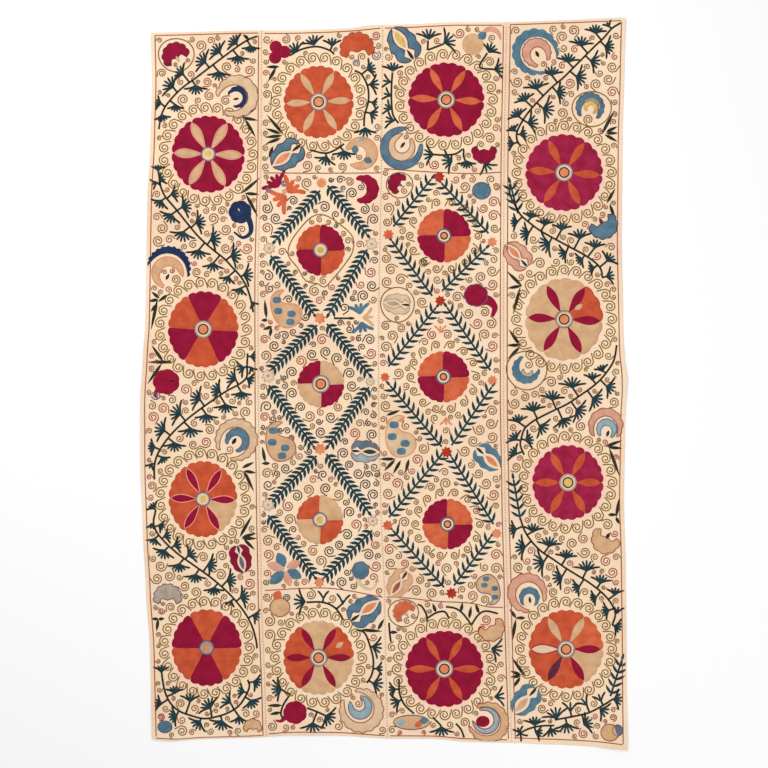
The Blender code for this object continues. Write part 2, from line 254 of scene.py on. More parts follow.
# Vines: the stem's places from end to end, then its sprigs as (root x, root y, pointing angle, finger length,
# fingers). A sprig without a stem stands alone.
VINES = (
    (((-40.5, 111.2), (-43, 110.3), (-46, 108.5), (-50, 105.6), (-54, 102.6), (-60, 98), (-65, 94.3), (-69, 90),
      (-70.8, 87), (-71.5, 84.5), (-72, 81.5)), (
        (-42.6, 108, -90, 2.6, 7), (-46.7, 104.8, -90, 3.2, 7), (-52.8, 99.8, -90, 3.4, 7),
        (-60.2, 95.3, -90, 3.4, 7), (-66.6, 89.2, -90, 2.6, 6), (-47.2, 109, 140, 3.2, 7),
        (-52.6, 106.1, 140, 3.6, 7), (-57.2, 102.9, 150, 3.8, 7), (-64.3, 99.1, 150, 3.3, 6),
        (-67.5, 95, 145, 4, 7), (-71.3, 89.7, 170, 2.4, 5), (-71, 86, -80, 2.6, 6))),
    (((-71.5, 63.5), (-70.2, 60.3), (-66.8, 56.2), (-63, 51.5), (-59.2, 47), (-55, 43.2), (-51, 40),
      (-48.6, 37.4), (-45.8, 34.3), (-43.9, 31), (-42.6, 27), (-41.8, 23)), (
        (-68, 60.6, 10, 2.8, 5), (-64.5, 56.6, 15, 3.6, 7), (-60, 51.6, 10, 3.6, 7), (-55.3, 46.3, 5, 3.8, 7),
        (-48.8, 41, 5, 3.8, 7), (-44.8, 34.9, 0, 3.6, 6), (-71.2, 58.6, -120, 3, 6), (-68, 54.2, -120, 3.4, 7),
        (-64.2, 48.6, -105, 3.8, 7), (-59.3, 42.8, -95, 3.6, 7), (-54.6, 38.6, -95, 3.2, 6),
        (-49.7, 34.4, -110, 2.8, 5), (-45.8, 30.6, -110, 2.6, 5), (-42.2, 26.2, -60, 2, 3),
        (-71.8, 65, 30, 2.4, 4), (-72.6, 64.4, 200, 2.2, 3), (-72.2, 68.3, 90, 2.2, 5))),
    (((-43.6, 9.8), (-43.8, 5.5), (-43.9, 2.2), (-46.2, 0), (-50.6, -2.4), (-56.2, -6.2), (-62, -10.5),
      (-67.6, -15.6), (-71.6, -21), (-73.3, -25.5), (-73.4, -30.5)), (
        (-42.6, 8.8, 0, 2, 4), (-44.8, 5.3, 200, 3, 5), (-42.6, 5.3, -60, 2, 3), (-43.6, 1.6, -20, 2.6, 5),
        (-47.5, 1.5, 160, 3.6, 6), (-52.6, -2.2, 165, 3.4, 7), (-58.9, -4.9, 160, 3.8, 7),
        (-65.2, -9.6, 160, 4, 7), (-70.2, -14.9, 160, 3.8, 7), (-73.3, -20.2, 180, 2.6, 6),
        (-45.6, -2.6, -90, 3, 7), (-50.7, -6.6, -90, 3.4, 7), (-56.8, -9.8, -90, 3.4, 7),
        (-61.9, -14.2, -90, 3.6, 7), (-67, -18.9, -90, 3.4, 7), (-71, -23.4, -60, 2.4, 5),
        (-74.2, -25.5, -120, 2, 3))),
    (((-73, -40.5), (-73.7, -44.3), (-72.6, -47.5), (-70, -50.6), (-68, -52.5), (-65, -55), (-60.2, -58.4),
      (-54.6, -62.5), (-49, -67.6), (-44.6, -73), (-42.2, -77.5), (-40.9, -82), (-40.6, -84.5)), (
        (-73.4, -39.8, 130, 2.4, 5), (-74.4, -44.8, -100, 1.8, 3), (-72, -45.2, -20, 2.2, 5),
        (-70.2, -48.7, 10, 2.6, 5), (-67, -51.6, 10, 2.8, 5), (-62.6, -54.8, 30, 3.2, 6),
        (-56.2, -57.7, -10, 3.4, 7), (-50, -62.7, 0, 3.4, 7), (-45.8, -68.2, 10, 3.4, 7),
        (-41.8, -73.9, -20, 2.6, 5), (-73.2, -49.4, -110, 2.6, 5), (-70.1, -53.2, -115, 3.4, 7),
        (-65.5, -57.6, -95, 3.2, 7), (-60.3, -61, -95, 3.2, 7), (-54.4, -65.2, -90, 3, 7),
        (-48.8, -69.3, -110, 2, 3))),
    (((-71.1, -91.5), (-70.9, -94), (-70, -98.5), (-68.3, -102), (-65.6, -104.5), (-61.5, -106.1), (-57.5, -107),
      (-53.6, -106.4), (-50, -105.2), (-46.4, -102.9), (-44, -99.3), (-43, -96.5), (-43.6, -94.6)), (
        (-71.2, -92, 90, 2.6, 5), (-66.9, -98.8, 90, 2.8, 6), (-62, -101.5, 90, 3.2, 5),
        (-55.5, -103.5, 130, 3.8, 7), (-49.2, -101.8, 150, 3.4, 5), (-44.8, -98.4, 170, 2.6, 5),
        (-71.2, -102.2, 170, 2.6, 5), (-66.4, -106.1, 190, 3, 7), (-58.9, -107.9, -130, 3.4, 6),
        (-51.8, -107.8, -110, 3.6, 7), (-46.3, -106.4, -90, 3, 5), (-41.6, -95.2, -20, 2.8, 6),
        (-42.6, -101.2, -60, 3.2, 7))),
    (((75.6, 115.4), (72.8, 113.6), (70.2, 110.6), (67.6, 108.2), (64, 104.6), (60.2, 100.8), (57.4, 98),
      (53.8, 95), (50.2, 91.4), (46.6, 87.4), (44.2, 84), (42.5, 80.5), (42.6, 77.8), (43.8, 76)), (
        (72, 114.2, 120, 2, 3), (67.6, 112.2, 85, 3.2, 7), (63, 108.2, 85, 3.6, 7), (58.8, 103, 85, 3.4, 7),
        (53.6, 98.8, 90, 3.4, 7), (48.8, 94.4, 100, 3.8, 7), (45.2, 90.6, 115, 3.2, 7), (43, 85.6, 120, 3.2, 7),
        (41.6, 81, 120, 2.2, 5), (41.4, 76.9, 180, 2.4, 5), (70.8, 107.9, -10, 3.4, 7),
        (66.2, 103.3, -10, 3.6, 6), (61.6, 98.2, -10, 3.8, 7), (55.4, 93.2, 0, 3.4, 7), (51, 88, -10, 4.2, 7),
        (46.2, 83.4, 10, 3.8, 6), (43.6, 79.8, 10, 2.6, 5))),
    (((40.2, 64), (40.3, 60.5), (41.8, 57.4), (43.6, 54.2), (46, 52), (49.4, 49.4), (54.2, 46.6), (60.2, 43.4),
      (64.2, 41.2), (67.6, 38.8), (69.4, 36.6), (69.8, 34)), (
        (46.9, 53.2, 80, 2.6, 6), (51.4, 50.9, 85, 2.8, 6), (56.8, 49.4, 85, 3, 6), (62.6, 46.6, 90, 3.6, 6),
        (67.4, 43.6, 85, 3.2, 6), (71.4, 39.4, 50, 3.2, 6), (71.2, 34.4, 10, 3, 5), (42.6, 51.8, 180, 2.6, 6),
        (46.2, 48.2, 185, 3.4, 7), (52.8, 45, 200, 4, 7), (58.2, 42, 200, 3, 6), (63.4, 40, 210, 2.6, 6),
        (67.2, 37.2, 190, 2.4, 5))),
    (((74.4, 12.4), (73.4, 7.4), (70.4, 2.8), (67, -0.6), (62.2, -4), (58.6, -6.4), (53.8, -8.7), (50, -10.6),
      (47.4, -12.1), (45, -14.2), (44, -17), (43.6, -19.6), (44.8, -22.6)), (
        (69.8, 4.2, 110, 2.4, 5), (66.6, 1.4, 90, 2.8, 5), (60.2, -1, 90, 4, 7), (53.8, -5, 85, 3.6, 7),
        (47.8, -8.6, 95, 3.6, 7), (43, -12.2, 100, 3, 6), (42.2, -17.8, 130, 3, 6), (42.2, -22.4, 150, 3, 6),
        (71.2, -0.8, -20, 3.4, 6), (66.8, -4.6, -30, 3.8, 7), (61.6, -8.2, -30, 3.8, 7),
        (57, -11.2, -60, 3.6, 7), (49.8, -13.4, -35, 3.6, 6), (45.4, -18, 15, 3, 6))),
    (((43.6, -43), (45, -47), (47.4, -50.6), (50.4, -53.6), (54, -56), (58, -58.8), (62.2, -61.4), (66, -63.8),
      (70, -67), (72.8, -70.4), (74, -73.6), (73, -77)), (
        (47.6, -47.2, 85, 3.2, 6), (52.8, -51.8, 85, 3.6, 7), (58.2, -55.6, 85, 3.2, 7),
        (64.8, -59.6, 90, 3.8, 7), (69.2, -63.6, 80, 3.2, 6), (73.8, -67.4, 85, 2.8, 5),
        (74.6, -73.2, 80, 2.4, 3), (42.2, -46.4, 185, 2.8, 6), (45, -52.2, 180, 3.8, 7), (51, -57, 190, 4.2, 7),
        (56.8, -61.8, 190, 3.6, 7), (62.4, -64.8, 200, 2.8, 6), (67.8, -68.2, 195, 2.4, 6),
        (71.8, -72.4, 190, 2.8, 6), (73.8, -77.4, -20, 2.8, 6))),
    (((73.4, -100.6), (69.6, -103), (65.2, -105.2), (60, -106.4), (54.6, -107.4)), (
        (69.4, -101.4, 110, 2.8, 3), (64.8, -102.6, 130, 3.2, 3), (59.6, -104.6, 90, 3.4, 3),
        (55.2, -106.8, 110, 4.2, 6), (73.6, -100.8, 0, 3.2, 6), (69.2, -104, -30, 3.4, 5),
        (64, -108.8, 20, 3.4, 6), (58.4, -108.6, -90, 3.8, 6))),
    (((54.4, -109.2), (49.6, -109.4), (45.4, -110.6), (42.4, -112.6)), (
        (53.2, -110.2, -75, 3.2, 5), (48.2, -109, 90, 3.2, 6), (48.6, -111.4, -10, 2.6, 5),
        (43.4, -111.6, 110, 2.2, 3), (43.6, -111.8, -50, 2.2, 2))),
    (((-30.2, 105), (-26.4, 107), (-21.5, 107.9), (-17.2, 106.6), (-16, 105.4)), (
        (-28.2, 106.2, 120, 3.6, 6), (-22.4, 108.6, 110, 3.6, 6), (-16.6, 108.2, 90, 3, 5))),
    (((-9.4, 100.2), (-7.2, 99), (-5.2, 95), (-5, 90.4), (-6.2, 86), (-6.4, 82.4)), (
        (-5.2, 100.6, 20, 3.2, 6), (-4.4, 95.8, 0, 3.4, 5), (-3.8, 90, -10, 2, 4), (-4.4, 86.6, -20, 3, 5),
        (-6, 81.8, -90, 3.4, 6))),
    (((-12.8, 76.8), (-15, 75.2), (-18.6, 73.8), (-23.6, 74.8)), (
        (-18.4, 72.6, -110, 3.4, 6), (-12.8, 74.4, -90, 3.4, 7))),
    (((13.9, 106.8), (14.1, 109.8)), ((14.3, 110.4, 90, 3.8, 6),)),
    (((14, 106.8), (18.8, 108.6)), ((19.4, 109.2, 25, 4.2, 6),)),
    (((33, 105.8), (30.6, 101.4), (35.2, 100.6)), ((33.6, 106.2, 60, 3.4, 6), (35.4, 100.6, 10, 3.4, 5))),
    (((2.7, 99.6), (2.4, 95), (2.4, 90), (2.9, 86), (4.6, 83.4)), (
        (2.8, 100.2, 90, 3.2, 6), (2, 96.6, 170, 2.8, 3), (2, 92.2, 160, 2.6, 3), (2.2, 88, 160, 2.8, 4),
        (3, 84.2, 170, 3.2, 4))),
    (((15.6, 73.4), (19, 73.2), (23, 73.6), (25.4, 75.2), (25.4, 73), (26.2, 71)), (
        (15.6, 73.4, 180, 3.6, 5), (21.6, 71.4, 190, 3.8, 6), (26.4, 71.2, -90, 2.8, 7))),
    (((-24.8, -69.8), (-19.6, -69.8), (-15.6, -71.6), (-13, -75.4)), (
        (-25.4, -69.6, 180, 4.2, 6), (-19.4, -68.6, 90, 2.6, 2), (-13.2, -70.2, 85, 3.2, 2))),
    (((-8.8, -78.6), (-6.2, -79.6), (-4.4, -84), (-3.4, -88.4), (-3.8, -92.6), (-5.4, -95.6)), (
        (-3.6, -84, -10, 3.6, 5), (-2.4, -91, 0, 2.4, 4), (-3.4, -95.8, -10, 3.8, 6))),
    (((-29.8, -99.4), (-32.6, -97.8), (-35.6, -94.6)), ((-33, -97.6, 180, 3.6, 7),)),
    (((-30.4, -99.8), (-32.2, -102.6), (-33, -105.6), (-32, -107.2)), ()),
    (((-24.6, -103.6), (-21.4, -104.8), (-18.4, -106.2)), (
        (-22.8, -108.4, -90, 3.8, 6), (-18.6, -106.2, -35, 3.8, 7))),
    (((13.8, -76), (13.6, -73.8), (12, -71), (10.8, -70.4)), ()),
    (((14, -74.8), (16.6, -73.2), (19.4, -72.8), (20.8, -75)), ()),
    (((19.8, -71.2), (23, -71.8), (25.4, -73.6), (27.8, -76.8)), ()),
    (((28, -77), (30, -74), (32.4, -72.6), (36.4, -73.4)), ()),
    (((1.6, -76.4), (1.8, -79.4), (2.2, -82.4)), ()),
    (((4.8, -94.6), (5, -99), (6.6, -102.6), (9.6, -105.4)), (
        (3.6, -97.6, 190, 2.6, 5), (4.8, -101.4, 200, 3.4, 5))),
    (((15.6, -106.6), (18, -109), (18.4, -110)), ((18.4, -109.8, -90, 3.6, 6),)),
    (((23, -108.6), (24.6, -110.4), (25.6, -113)), ()),
    (((-16, 21), (-9.7, 21)), ()),
    ((), ((34.6, -84.6, -15, 4, 5), (35.6, -100, 5, 3.6, 4), (32.2, 70.6, -60, 3.6, 4))),
)

# Long single leaves: root, angle and length.
LEAVES = (
    (-46, 85.2, 30, 6), (-45.5, 85.2, -10, 5.2), (-44.5, 84.8, -60, 6.8), (-45.5, 61, 40, 7.5),
    (-44.5, 61, -5, 4.6), (-44.2, 60.8, -62, 8.2), (-69, 28.6, 215, 4), (-71.8, 27.4, 140, 3.2),
    (-72.2, 27, 190, 3), (-72.6, 25.5, 230, 3), (-72.4, 27.2, 258, 10), (-67.6, 7, 180, 8), (-70.5, 7, 125, 6.6),
    (-71, 6.6, 235, 8), (-45.4, -26.8, 25, 4.2), (-44.6, -27.8, -10, 3.6), (-44.8, -27.6, -65, 7.4),
    (-46.2, -49, 60, 8), (-45.5, -49, 15, 4.8), (-45.5, -49.4, 0, 4.8), (-44.8, -49.6, -45, 4.8),
    (-72.2, -75.2, 175, 2), (-72.2, -75.2, 5, 2), (-72.2, -75.2, -98, 3.8), (69.6, 79.8, 62, 8.6),
    (71, 80.6, 25, 4), (71, 80.2, 0, 3.8), (70.6, 79.8, -30, 4.6), (71.2, 57.8, 60, 5.4), (72.2, 57.4, -70, 4.6),
    (44.2, 31.2, 135, 7), (44, 31.4, 190, 4.6), (43.6, 31, -105, 9), (43.6, 12.2, 125, 6.4),
    (43.8, 12.4, 180, 4.6), (43.6, 12, 225, 5.6), (70.8, -20, 20, 5.6), (71.6, -20.2, -5, 4.6),
    (72, -20.4, -70, 9.6), (71.6, -41.8, 0, 3), (74.2, -42.6, 80, 6.6), (74.2, -42.6, -65, 2.4),
    (45.2, -74.8, 180, 3.2), (42.2, -74.8, 125, 3.4), (42.2, -75.2, -100, 7.4), (45.2, -93.6, 125, 7.6),
    (43.8, -93, 160, 3.6), (43.8, -93.4, 185, 3.4), (43.6, -93.8, 235, 4), (-33.5, 101.4, 180, 4.2),
    (-34.5, 101.2, 240, 5.2), (-32, 79.6, 130, 8.5), (-33, 80, 160, 5), (-32.5, 79.4, 185, 5.5),
    (-33, 78.6, 200, 5), (-35.5, 76, 250, 4), (-7.6, -78.6, -4, 7), (-2, -78.6, 60, 4), (-32.6, -102.8, 180, 4.6),
    (-33, -105, 190, 3.6), (16.6, -73, 110, 3), (24.6, -72.8, 80, 3), (27.2, -75, 80, 4), (30.4, -73.4, 110, 3.4),
    (1.8, -79.4, 0, 2.6), (-37.6, 21, 95, 6), (-37.2, 20.4, 180, 2), (-35.8, 18.4, 200, 3), (-36, 18, -100, 3),
    (-38, -25, 100, 5), (-36.5, -25.4, 180, 2.6), (0.8, -10, 20, 4.6), (3.6, -24, 180, 5), (3.6, -24.2, 225, 5),
    (5.4, -24.4, 240, 5), (8, -24, 255, 4.6), (-43.2, 110.2, 140, 2.4),
)

# Feathered stems from end to end. The centre-left ones are dense and broad, the others sparse and slim.
DENSE_FEATHERS = (
    ((-20.5, 61.8), (-34.6, 46)), ((-18, 63.4), (-5.6, 48)), ((-36.2, 41), (-22.6, 22.6)),
    ((-5.4, 43), (-17.4, 22.8)), ((-21.4, 18.8), (-36, 4.6)), ((-18.2, 19.2), (-5, 3.4)),
    ((-36.8, -0.4), (-22.8, -19.6)), ((-4.8, -1), (-17.6, -19.4)), ((-21.6, -23), (-36, -38)),
    ((-18.4, -22.4), (-5.2, -40.6)), ((-37, -42), (-22.4, -61.4)), ((-3.8, -46.8), (-19.2, -62)),
)
SLIM_FEATHERS = (
    ((3, 50.4), (15, 65.4)), ((33.4, 48.2), (18.4, 64.2)), ((15.4, 28.2), (2.6, 45.6)),
    ((18.6, 29.8), (32.4, 43.2)), ((1.4, 5.6), (16.6, 24.4)), ((34, 4.4), (20.2, 24.4)),
    ((18.4, -20), (2, -0.6)), ((21.6, -19.6), (34.4, -1)), ((1.6, -42.6), (18.6, -22.4)),
    ((35, -44.8), (21.6, -23.4)), ((19.2, -65), (2.8, -46.8)), ((22.4, -64.4), (34, -49)),
    ((42.8, 54.6), (40.4, 64)), ((43.6, -43.4), (41.4, -30.6)), ((72.4, -99.8), (76, -88.4)),
)

# Small roundels and stars: place, radius, points, thread and edge.
STARS = (
    (-20, 64.3, 1.9, 12, "salmon", "salmon"), (-20.5, 21, 2.1, 7, "salmon", "salmon"),
    (-20.4, -20.8, 2.1, 7, "salmon", "salmon"), (-20.7, -63.4, 1.9, 8, "salmon", "salmon"),
    (34.6, 45.4, 1.8, 8, "salmon", "salmon"), (34.6, 1.2, 1.8, 8, "salmon", "salmon"),
    (36, -47.8, 1.8, 8, "salmon", "salmon"), (17.6, 66.2, 2, 8, "red", "red"), (18, 26.6, 1.9, 8, "red", "red"),
    (20, -21.8, 2, 8, "red", "red"), (21.6, -66.9, 2, 8, "red", "red"), (1.4, 47.8, 1.9, 8, "apricot", "apricot"),
    (0.3, 2.2, 1.7, 8, "apricot", "apricot"), (1.2, -45.2, 1.9, 8, "apricot", "apricot"),
    (-36.7, 43.4, 2, 8, "cream", "grey"), (-4, 44.8, 2.1, 8, "cream", "grey"), (-37, 2.6, 2.2, 8, "cream", "grey"),
    (-4.4, 0.8, 1.5, 8, "cream", "grey"), (-37, -38.6, 2.1, 8, "cream", "grey"),
    (-3.6, -43.8, 1.8, 8, "cream", "grey"), (-31.8, 61.6, 1.1, 5, "pink", "pink"),
)

# Flowers, by kind. Fans: place, size, pointing angle, lobes, fill, edge and seed.
FANS = (
    (-66.5, 104.8, 4.5, 120, 7, "crimson", "plum", "tan"), (-8.6, 107, 5.6, 96, 8, "orange", "russet", "orange"),
    (-69.2, -68.4, 4.6, 90, 8, "grey", "slate", "grey"), (-42, -110, 3.0, 90, 5, "tan", "ochre", "tan"),
    (32, 74.4, 4.0, -90, 6, "crimson", "plum", "crimson"), (4.6, 64, 3.4, 150, 6, "crimson", "plum", "slate"),
    (6.6, -73, 3.8, 130, 8, "apricot", "grey", "grey"), (34.2, -78, 4.4, -60, 6, "tan", "red", "tan"),
    (70, 51, 4.8, -60, 7, "blue", "plum", "plum"), (71.0, -49.6, 4.8, -120, 6, "tan", "russet", "black"),
)

# Small flowers of a few fingers: place, pointing angle, length, fingers, thread and finger width.
TULIPS = (
    (-33.8, 63.2, 128, 4.6, 5, "crimson", 1.6), (-30.6, 61.4, 50, 4.8, 4, "apricot", 1.8),
    (-31.4, 60, 213, 5, 4, "apricot", 1.8), (18, 16.6, 90, 2.4, 3, "salmon", 0.8),
    (19.8, -11, -90, 2.4, 3, "salmon", 0.8), (-7.7, 22.6, 100, 3.8, 4, "blue", 1.4),
    (-7.2, 19.6, -80, 3.8, 4, "blue", 1.4), (-6.6, 21.2, 5, 3.6, 3, "tan", 1.2),
)

# Commas: place, half width, half length, fill and edge of the head, then the tail's places, thread and width.
COMMAS = (
    (-46, 55, 3.8, 3.8, "navy", "navy", ((-43.6, 53.4), (-42.6, 50.8), (-42.8, 48.2), (-45.2, 46.8), (-48, 48.6)),
     "navy", 2.4),
    (-69.6, 0.7, 4.4, 4.2, "crimson", "crimson", ((-71.8, -1.2), (-73.2, -3.2), (-72.5, -4.6)), "crimson", 2.2),
    (-28.4, -105, 3.9, 3.8, "crimson", "crimson", ((-31, -106), (-33, -107.8), (-34.6, -107.5)), "crimson", 2.2),
    (29.4, 28.4, 3.8, 3.6, "crimson", "slate", ((31, 27), (33.6, 26.6), (35.4, 24.4), (34.6, 21.6)), "crimson", 4.4),
    (-7.5, -59.6, 2.7, 2.8, "blue", "slate", ((-8.6, -62), (-7, -64.5), (-4, -65.5), (-1.4, -62.6)), "pale", 1.8),
)

# Crescents: place, radius, thickness, angle of the gap, opening, lobes, fill and edge.
CRESCENTS = (
    (-47.0, 92.0, 6.9, 3.4, 205, 50, 11, "pale", "russet"), (-46.6, 91.8, 3.7, 2.3, 205, 70, 9, "navy", "navy"),
    (-68.9, 37.0, 7.3, 2.4, 255, 160, 13, "navy", "navy"), (-69.2, 35.6, 5.1, 2.8, 300, 90, 0, "tan", "salmon"),
    (-47.2, -17.8, 6.9, 2.7, 232, 40, 15, "pale", "russet"), (-46.9, -17.9, 3.9, 2.4, 232, 60, 9, "blue", "slate"),
    (-6.2, 62.3, 4.8, 4.2, 182, 100, 7, "crimson", "crimson"), (-7.2, 73.8, 5.2, 3.4, 195, 60, 0, "tan", "salmon"),
    (-7.2, -104.4, 7.2, 3.1, 128, 40, 14, "pale", "russet"), (-7.6, -103.4, 3.8, 2.5, 118, 60, 0, "sky", "slate"),
    (5.6, 75.4, 6.8, 2.5, 42, 60, 0, "blue", "slate"), (5.5, 75.7, 4.4, 2.4, 62, 40, 0, "pale", "russet"),
    (48.4, 106.2, 7.7, 2.8, 322, 46, 13, "blue", "blue"), (48.8, 106.0, 4.7, 2.8, 300, 50, 13, "pink", "russet"),
    (65.9, 88.6, 4.6, 2.5, 262, 76, 11, "blue", "slate"), (66.4, 88.8, 2.5, 2.0, 250, 60, 6, "gold", "tan"),
    (45.4, 4.6, 4.7, 2.9, 52, 96, 9, "blue", "blue"), (45.8, 3.6, 1.8, 1.4, 80, 110, 0, "tan", "blue"),
    (70.9, -13.2, 5.6, 2.4, 268, 90, 8, "pink", "russet"), (71.2, -14.4, 3.3, 2.0, 262, 70, 9, "sky", "blue"),
    (45.8, -66.8, 6.4, 2.7, 304, 54, 12, "pink", "russet"), (46.5, -68.2, 3.5, 2.3, 268, 60, 7, "blue", "blue"),
    (33.4, -108.2, 6.6, 2.4, 160, 62, 12, "tan", "russet"),
    (32.6, -107.6, 4.3, 1.6, 150, 60, 0, "sky", "crimson"), (34.2, 111.0, 3.4, 1.7, 262, 150, 0, "pink", "pink"),
)

# Discs: place, half width, half length, lobes, fill and edge.
DISCS = (
    (-70.0, -109.6, 2.3, 1.9, 1, "blue", "slate"), (-33.3, -71.4, 3.2, 3.0, 1, "tan", "ochre"),
    (28.4, 108.6, 3.6, 3.6, 1, "tan", "tan"), (31.2, 61.8, 2.9, 2.7, 1, "blue", "slate"),
    (72.2, -111.4, 2.9, 2.7, 1, "tan", "russet"), (74.6, -110.7, 1.7, 1.8, 1, "blue", "slate"),
    (31.6, -107.9, 2.3, 1.9, 1, "crimson", "crimson"), (8.8, -108.2, 5.8, 2.3, 1, "tan", "slate"),
    (-34.6, 107.8, 2.1, 2.1, 1, "crimson", "crimson"), (-31.8, 106.2, 2.1, 2.1, 1, "crimson", "crimson"),
    (-34.8, 104.4, 2.1, 2.1, 1, "crimson", "crimson"),
)

# Irises: place, size, pointing angle, two lobes, edge, almond and seed.
IRISES = (
    (6.2, 108.6, 6.2, 124, "blue", "blue", "plum", "gold", "olive"),
    (-31.0, 73.2, 5.9, 217, "blue", "blue", "plum", "salmon", "olive"),
    (-6.2, -72.6, 5.9, 36, "blue", "blue", "slate", "salmon", "olive"),
    (-45.8, -55.8, 4.6, 284, "crimson", "crimson", "plum", "slate", "teal"),
    (-6.0, -21.6, 4.8, 357, "blue", "sky", "russet", "teal", "teal"),
    (4.2, 25.6, 4.5, 174, "pale", "pale", "grey", "grey", "olive"),
    (33.2, -23.6, 5.2, 318, "blue", "blue", "blue", "salmon", "olive"),
    (4.8, -63.8, 4.9, 236, "tan", "tan", "pink", "russet", "olive"),
    (42.6, 41.0, 5.2, 133, "pink", "pink", "russet", "salmon", "teal"),
    (45.2, -101.2, 5.7, 228, "blue", "blue", "blue", "tan", "olive"),
)

# Paisleys: place, size, turn, handed, fill, edge, patches and their thread as (place along the body, radius).
PAISLEYS = (
    (-31.6, 23.6, 5.8, 30, 1, "tan", "salmon", "blue"), (-33.4, -18.8, 6.0, 18, 1, "tan", "russet", "blue"),
    (5.0, -17.2, 6.2, 14, 1, "pale", "salmon", "blue"), (33.6, -65.4, 4.6, 205, 1, "tan", "slate", "blue"),
)

# Pinwheel and loose petals: place of the root, angle, length, width and thread.
PETALS = (
    (-31.6, -59.2, 165, 6.2, 3.2, "pink"), (-31.8, -59.8, 222, 6.4, 3.6, "blue"),
    (-31.4, -59.6, 285, 5.4, 3.0, "pink"), (-31.0, -59.4, 330, 5.4, 3.4, "blue"),
    (-31.2, -58.8, 25, 5.2, 3.0, "pink"), (-31.8, -58.6, 115, 5.2, 3.6, "blue"),
    (-35.0, -69.2, 60, 3.6, 3.0, "apricot"), (30.0, 110.2, 40, 3.6, 2.8, "blue"),
    (-9.4, 76.6, 275, 3.2, 2.4, "blue"),
    (-6.6, 72.0, 340, 3.2, 2.6, "blue"), (-8.4, 77.4, 30, 2.8, 1.6, "sky"), (-48.4, 91.0, 8, 2.2, 0.9, "olive"),
    (-69.8, 33.2, 62, 2.4, 1.1, "olive"), (-48.6, -19.4, 58, 2.6, 1.3, "black"), (49.6, 104.4, 118, 2.5, 1.2, "olive"),
    (5.2, 75.4, 52, 2.6, 1.1, "olive"), (71.2, -17.0, 72, 2.4, 1.1, "olive"), (46.8, -70.2, 98, 2.3, 1.0, "teal"),
    (-12.0, 21.0, 0, 2.8, 1.0, "olive"), (9.6, -109.6, 30, 3.4, 2.2, "apricot"), (31.6, -106.6, 290, 2.0, 0.6, "black"),
    (71.8, -112.4, 80, 2.4, 1.6, "gold"), (-66.6, 1.0, 180, 2.6, 1.0, "black"),
    (3.6, -108.2, 0, 3.6, 2.6, "sky"), (11.0, -107.8, 5, 3.4, 2.6, "blue"), (60.8, 23.6, 35, 3.4, 2.0, "tan"),
    (-15.6, -84.4, 35, 3.4, 2.0, "tan"), (-46.8, 56.4, 300, 1.6, 0.8, "cream"),
)

# Rings of thread round a flower: place, half width, half length and thread.
HALOES = (
    (-66.4, 105.2, 5.7, 5.3, "ochre"),
    (66.4, 88.0, 6.3, 5.6, "ochre"), (45.6, 4.4, 6.5, 6.2, "ochre"), (4.3, 25.4, 5.4, 5.6, "ochre"),
    (5.0, 63.6, 4.3, 4.1, "ochre"), (6.2, -73.2, 4.9, 4.4, "ochre"),
)

# Curls: place, radius, start angle, handed, thread.
CURLS = (
    (-72.8, -3.6, 1.6, 190, 1, "slate"), (-2.6, 105.0, 1.7, 60, -1, "slate"),
    (-9.0, 102.6, 1.3, 300, 1, "slate"), (-31.9, 64.0, 1.1, 60, 1, "slate"),
    (-36.8, 62.0, 1.1, 30, 1, "slate"), (-71.3, -106.4, 1.3, 250, 1, "crimson"),
    (-31.0, -68.4, 1.3, 200, -1, "slate"), (36.0, 62.9, 1.3, 150, -1, "russet"),
    (73.2, -106.6, 1.3, 270, 1, "russet"), (-71.2, -72.6, 1.2, 20, -1, "russet"),
    (31.2, -78.6, 1.3, 30, 1, "red"), (5.4, -11.2, 1.1, 100, -1, "salmon"),
)

# Dark curls of the two lattices: place and radius.
DARK_CURLS = (
    (-17, 65.3, 0.9), (-14, 65.3, 1.3), (-37, 34.5, 1.7), (-36.5, 30.5, 1.5), (-30.5, 27, 1.4), (-25, 21.5, 1.4),
    (-18.8, 29, 1.1), (-12.7, 24.3, 1.7), (-10, 27.5, 1.0), (-14, 19.5, 1.1), (-11, 17.5, 1.4), (-8, 14.5, 1.1),
    (-31.7, 15.5, 1.4), (-32, 2, 1.0), (-37.5, -7.2, 1.9), (-35.5, -11.3, 1.2), (-33.2, -14.8, 0.9),
    (-29.7, -17.2, 1.0), (-20.8, -12, 1.1), (-3.3, -6.7, 0.9), (-3.5, -10, 1.2), (-5, -12.5, 1.1),
    (-12.5, -18.5, 1.2), (-24, -21.5, 1.2), (-19.5, -29, 1.6), (-34.4, -28.7, 1.2), (-37, -32.3, 1.8),
    (-5, -28.9, 1.2), (-2.3, -29, 1.0), (13, 39, 1.4),
)

# Faded red lines: a line of the cloth, where the line starts and ends along it, how far off it runs, upright.
FRAME_LINES = (
    (LEFT_EDGE, -112.6, 111.4, 1.3, True), (LEFT_SEAM, -112.6, 111.4, -1.0, True),
    (TOP_EDGE, -73.2, -40.2, -0.9, False), (BOTTOM_EDGE, -72.8, -39.0, 0.5, False),
    (RIGHT_SEAM, -113.4, 115.0, 1.2, True), (RIGHT_EDGE, -115.0, 115.8, -1.4, True),
    (TOP_EDGE, 40.4, 75.8, -0.8, False), (BOTTOM_EDGE, 42.0, 76.2, 1.6, False),
    (RIGHT_SEAM, -113.4, 114.6, -1.0, True), (TOP_EDGE, -38.2, -1.2, -1.0, False),
    (TOP_EDGE, 0.4, 37.8, -1.0, False), (BOTTOM_EDGE, -36.8, 0.2, 0.9, False),
    (BOTTOM_EDGE, 1.9, 39.4, 0.9, False),
)
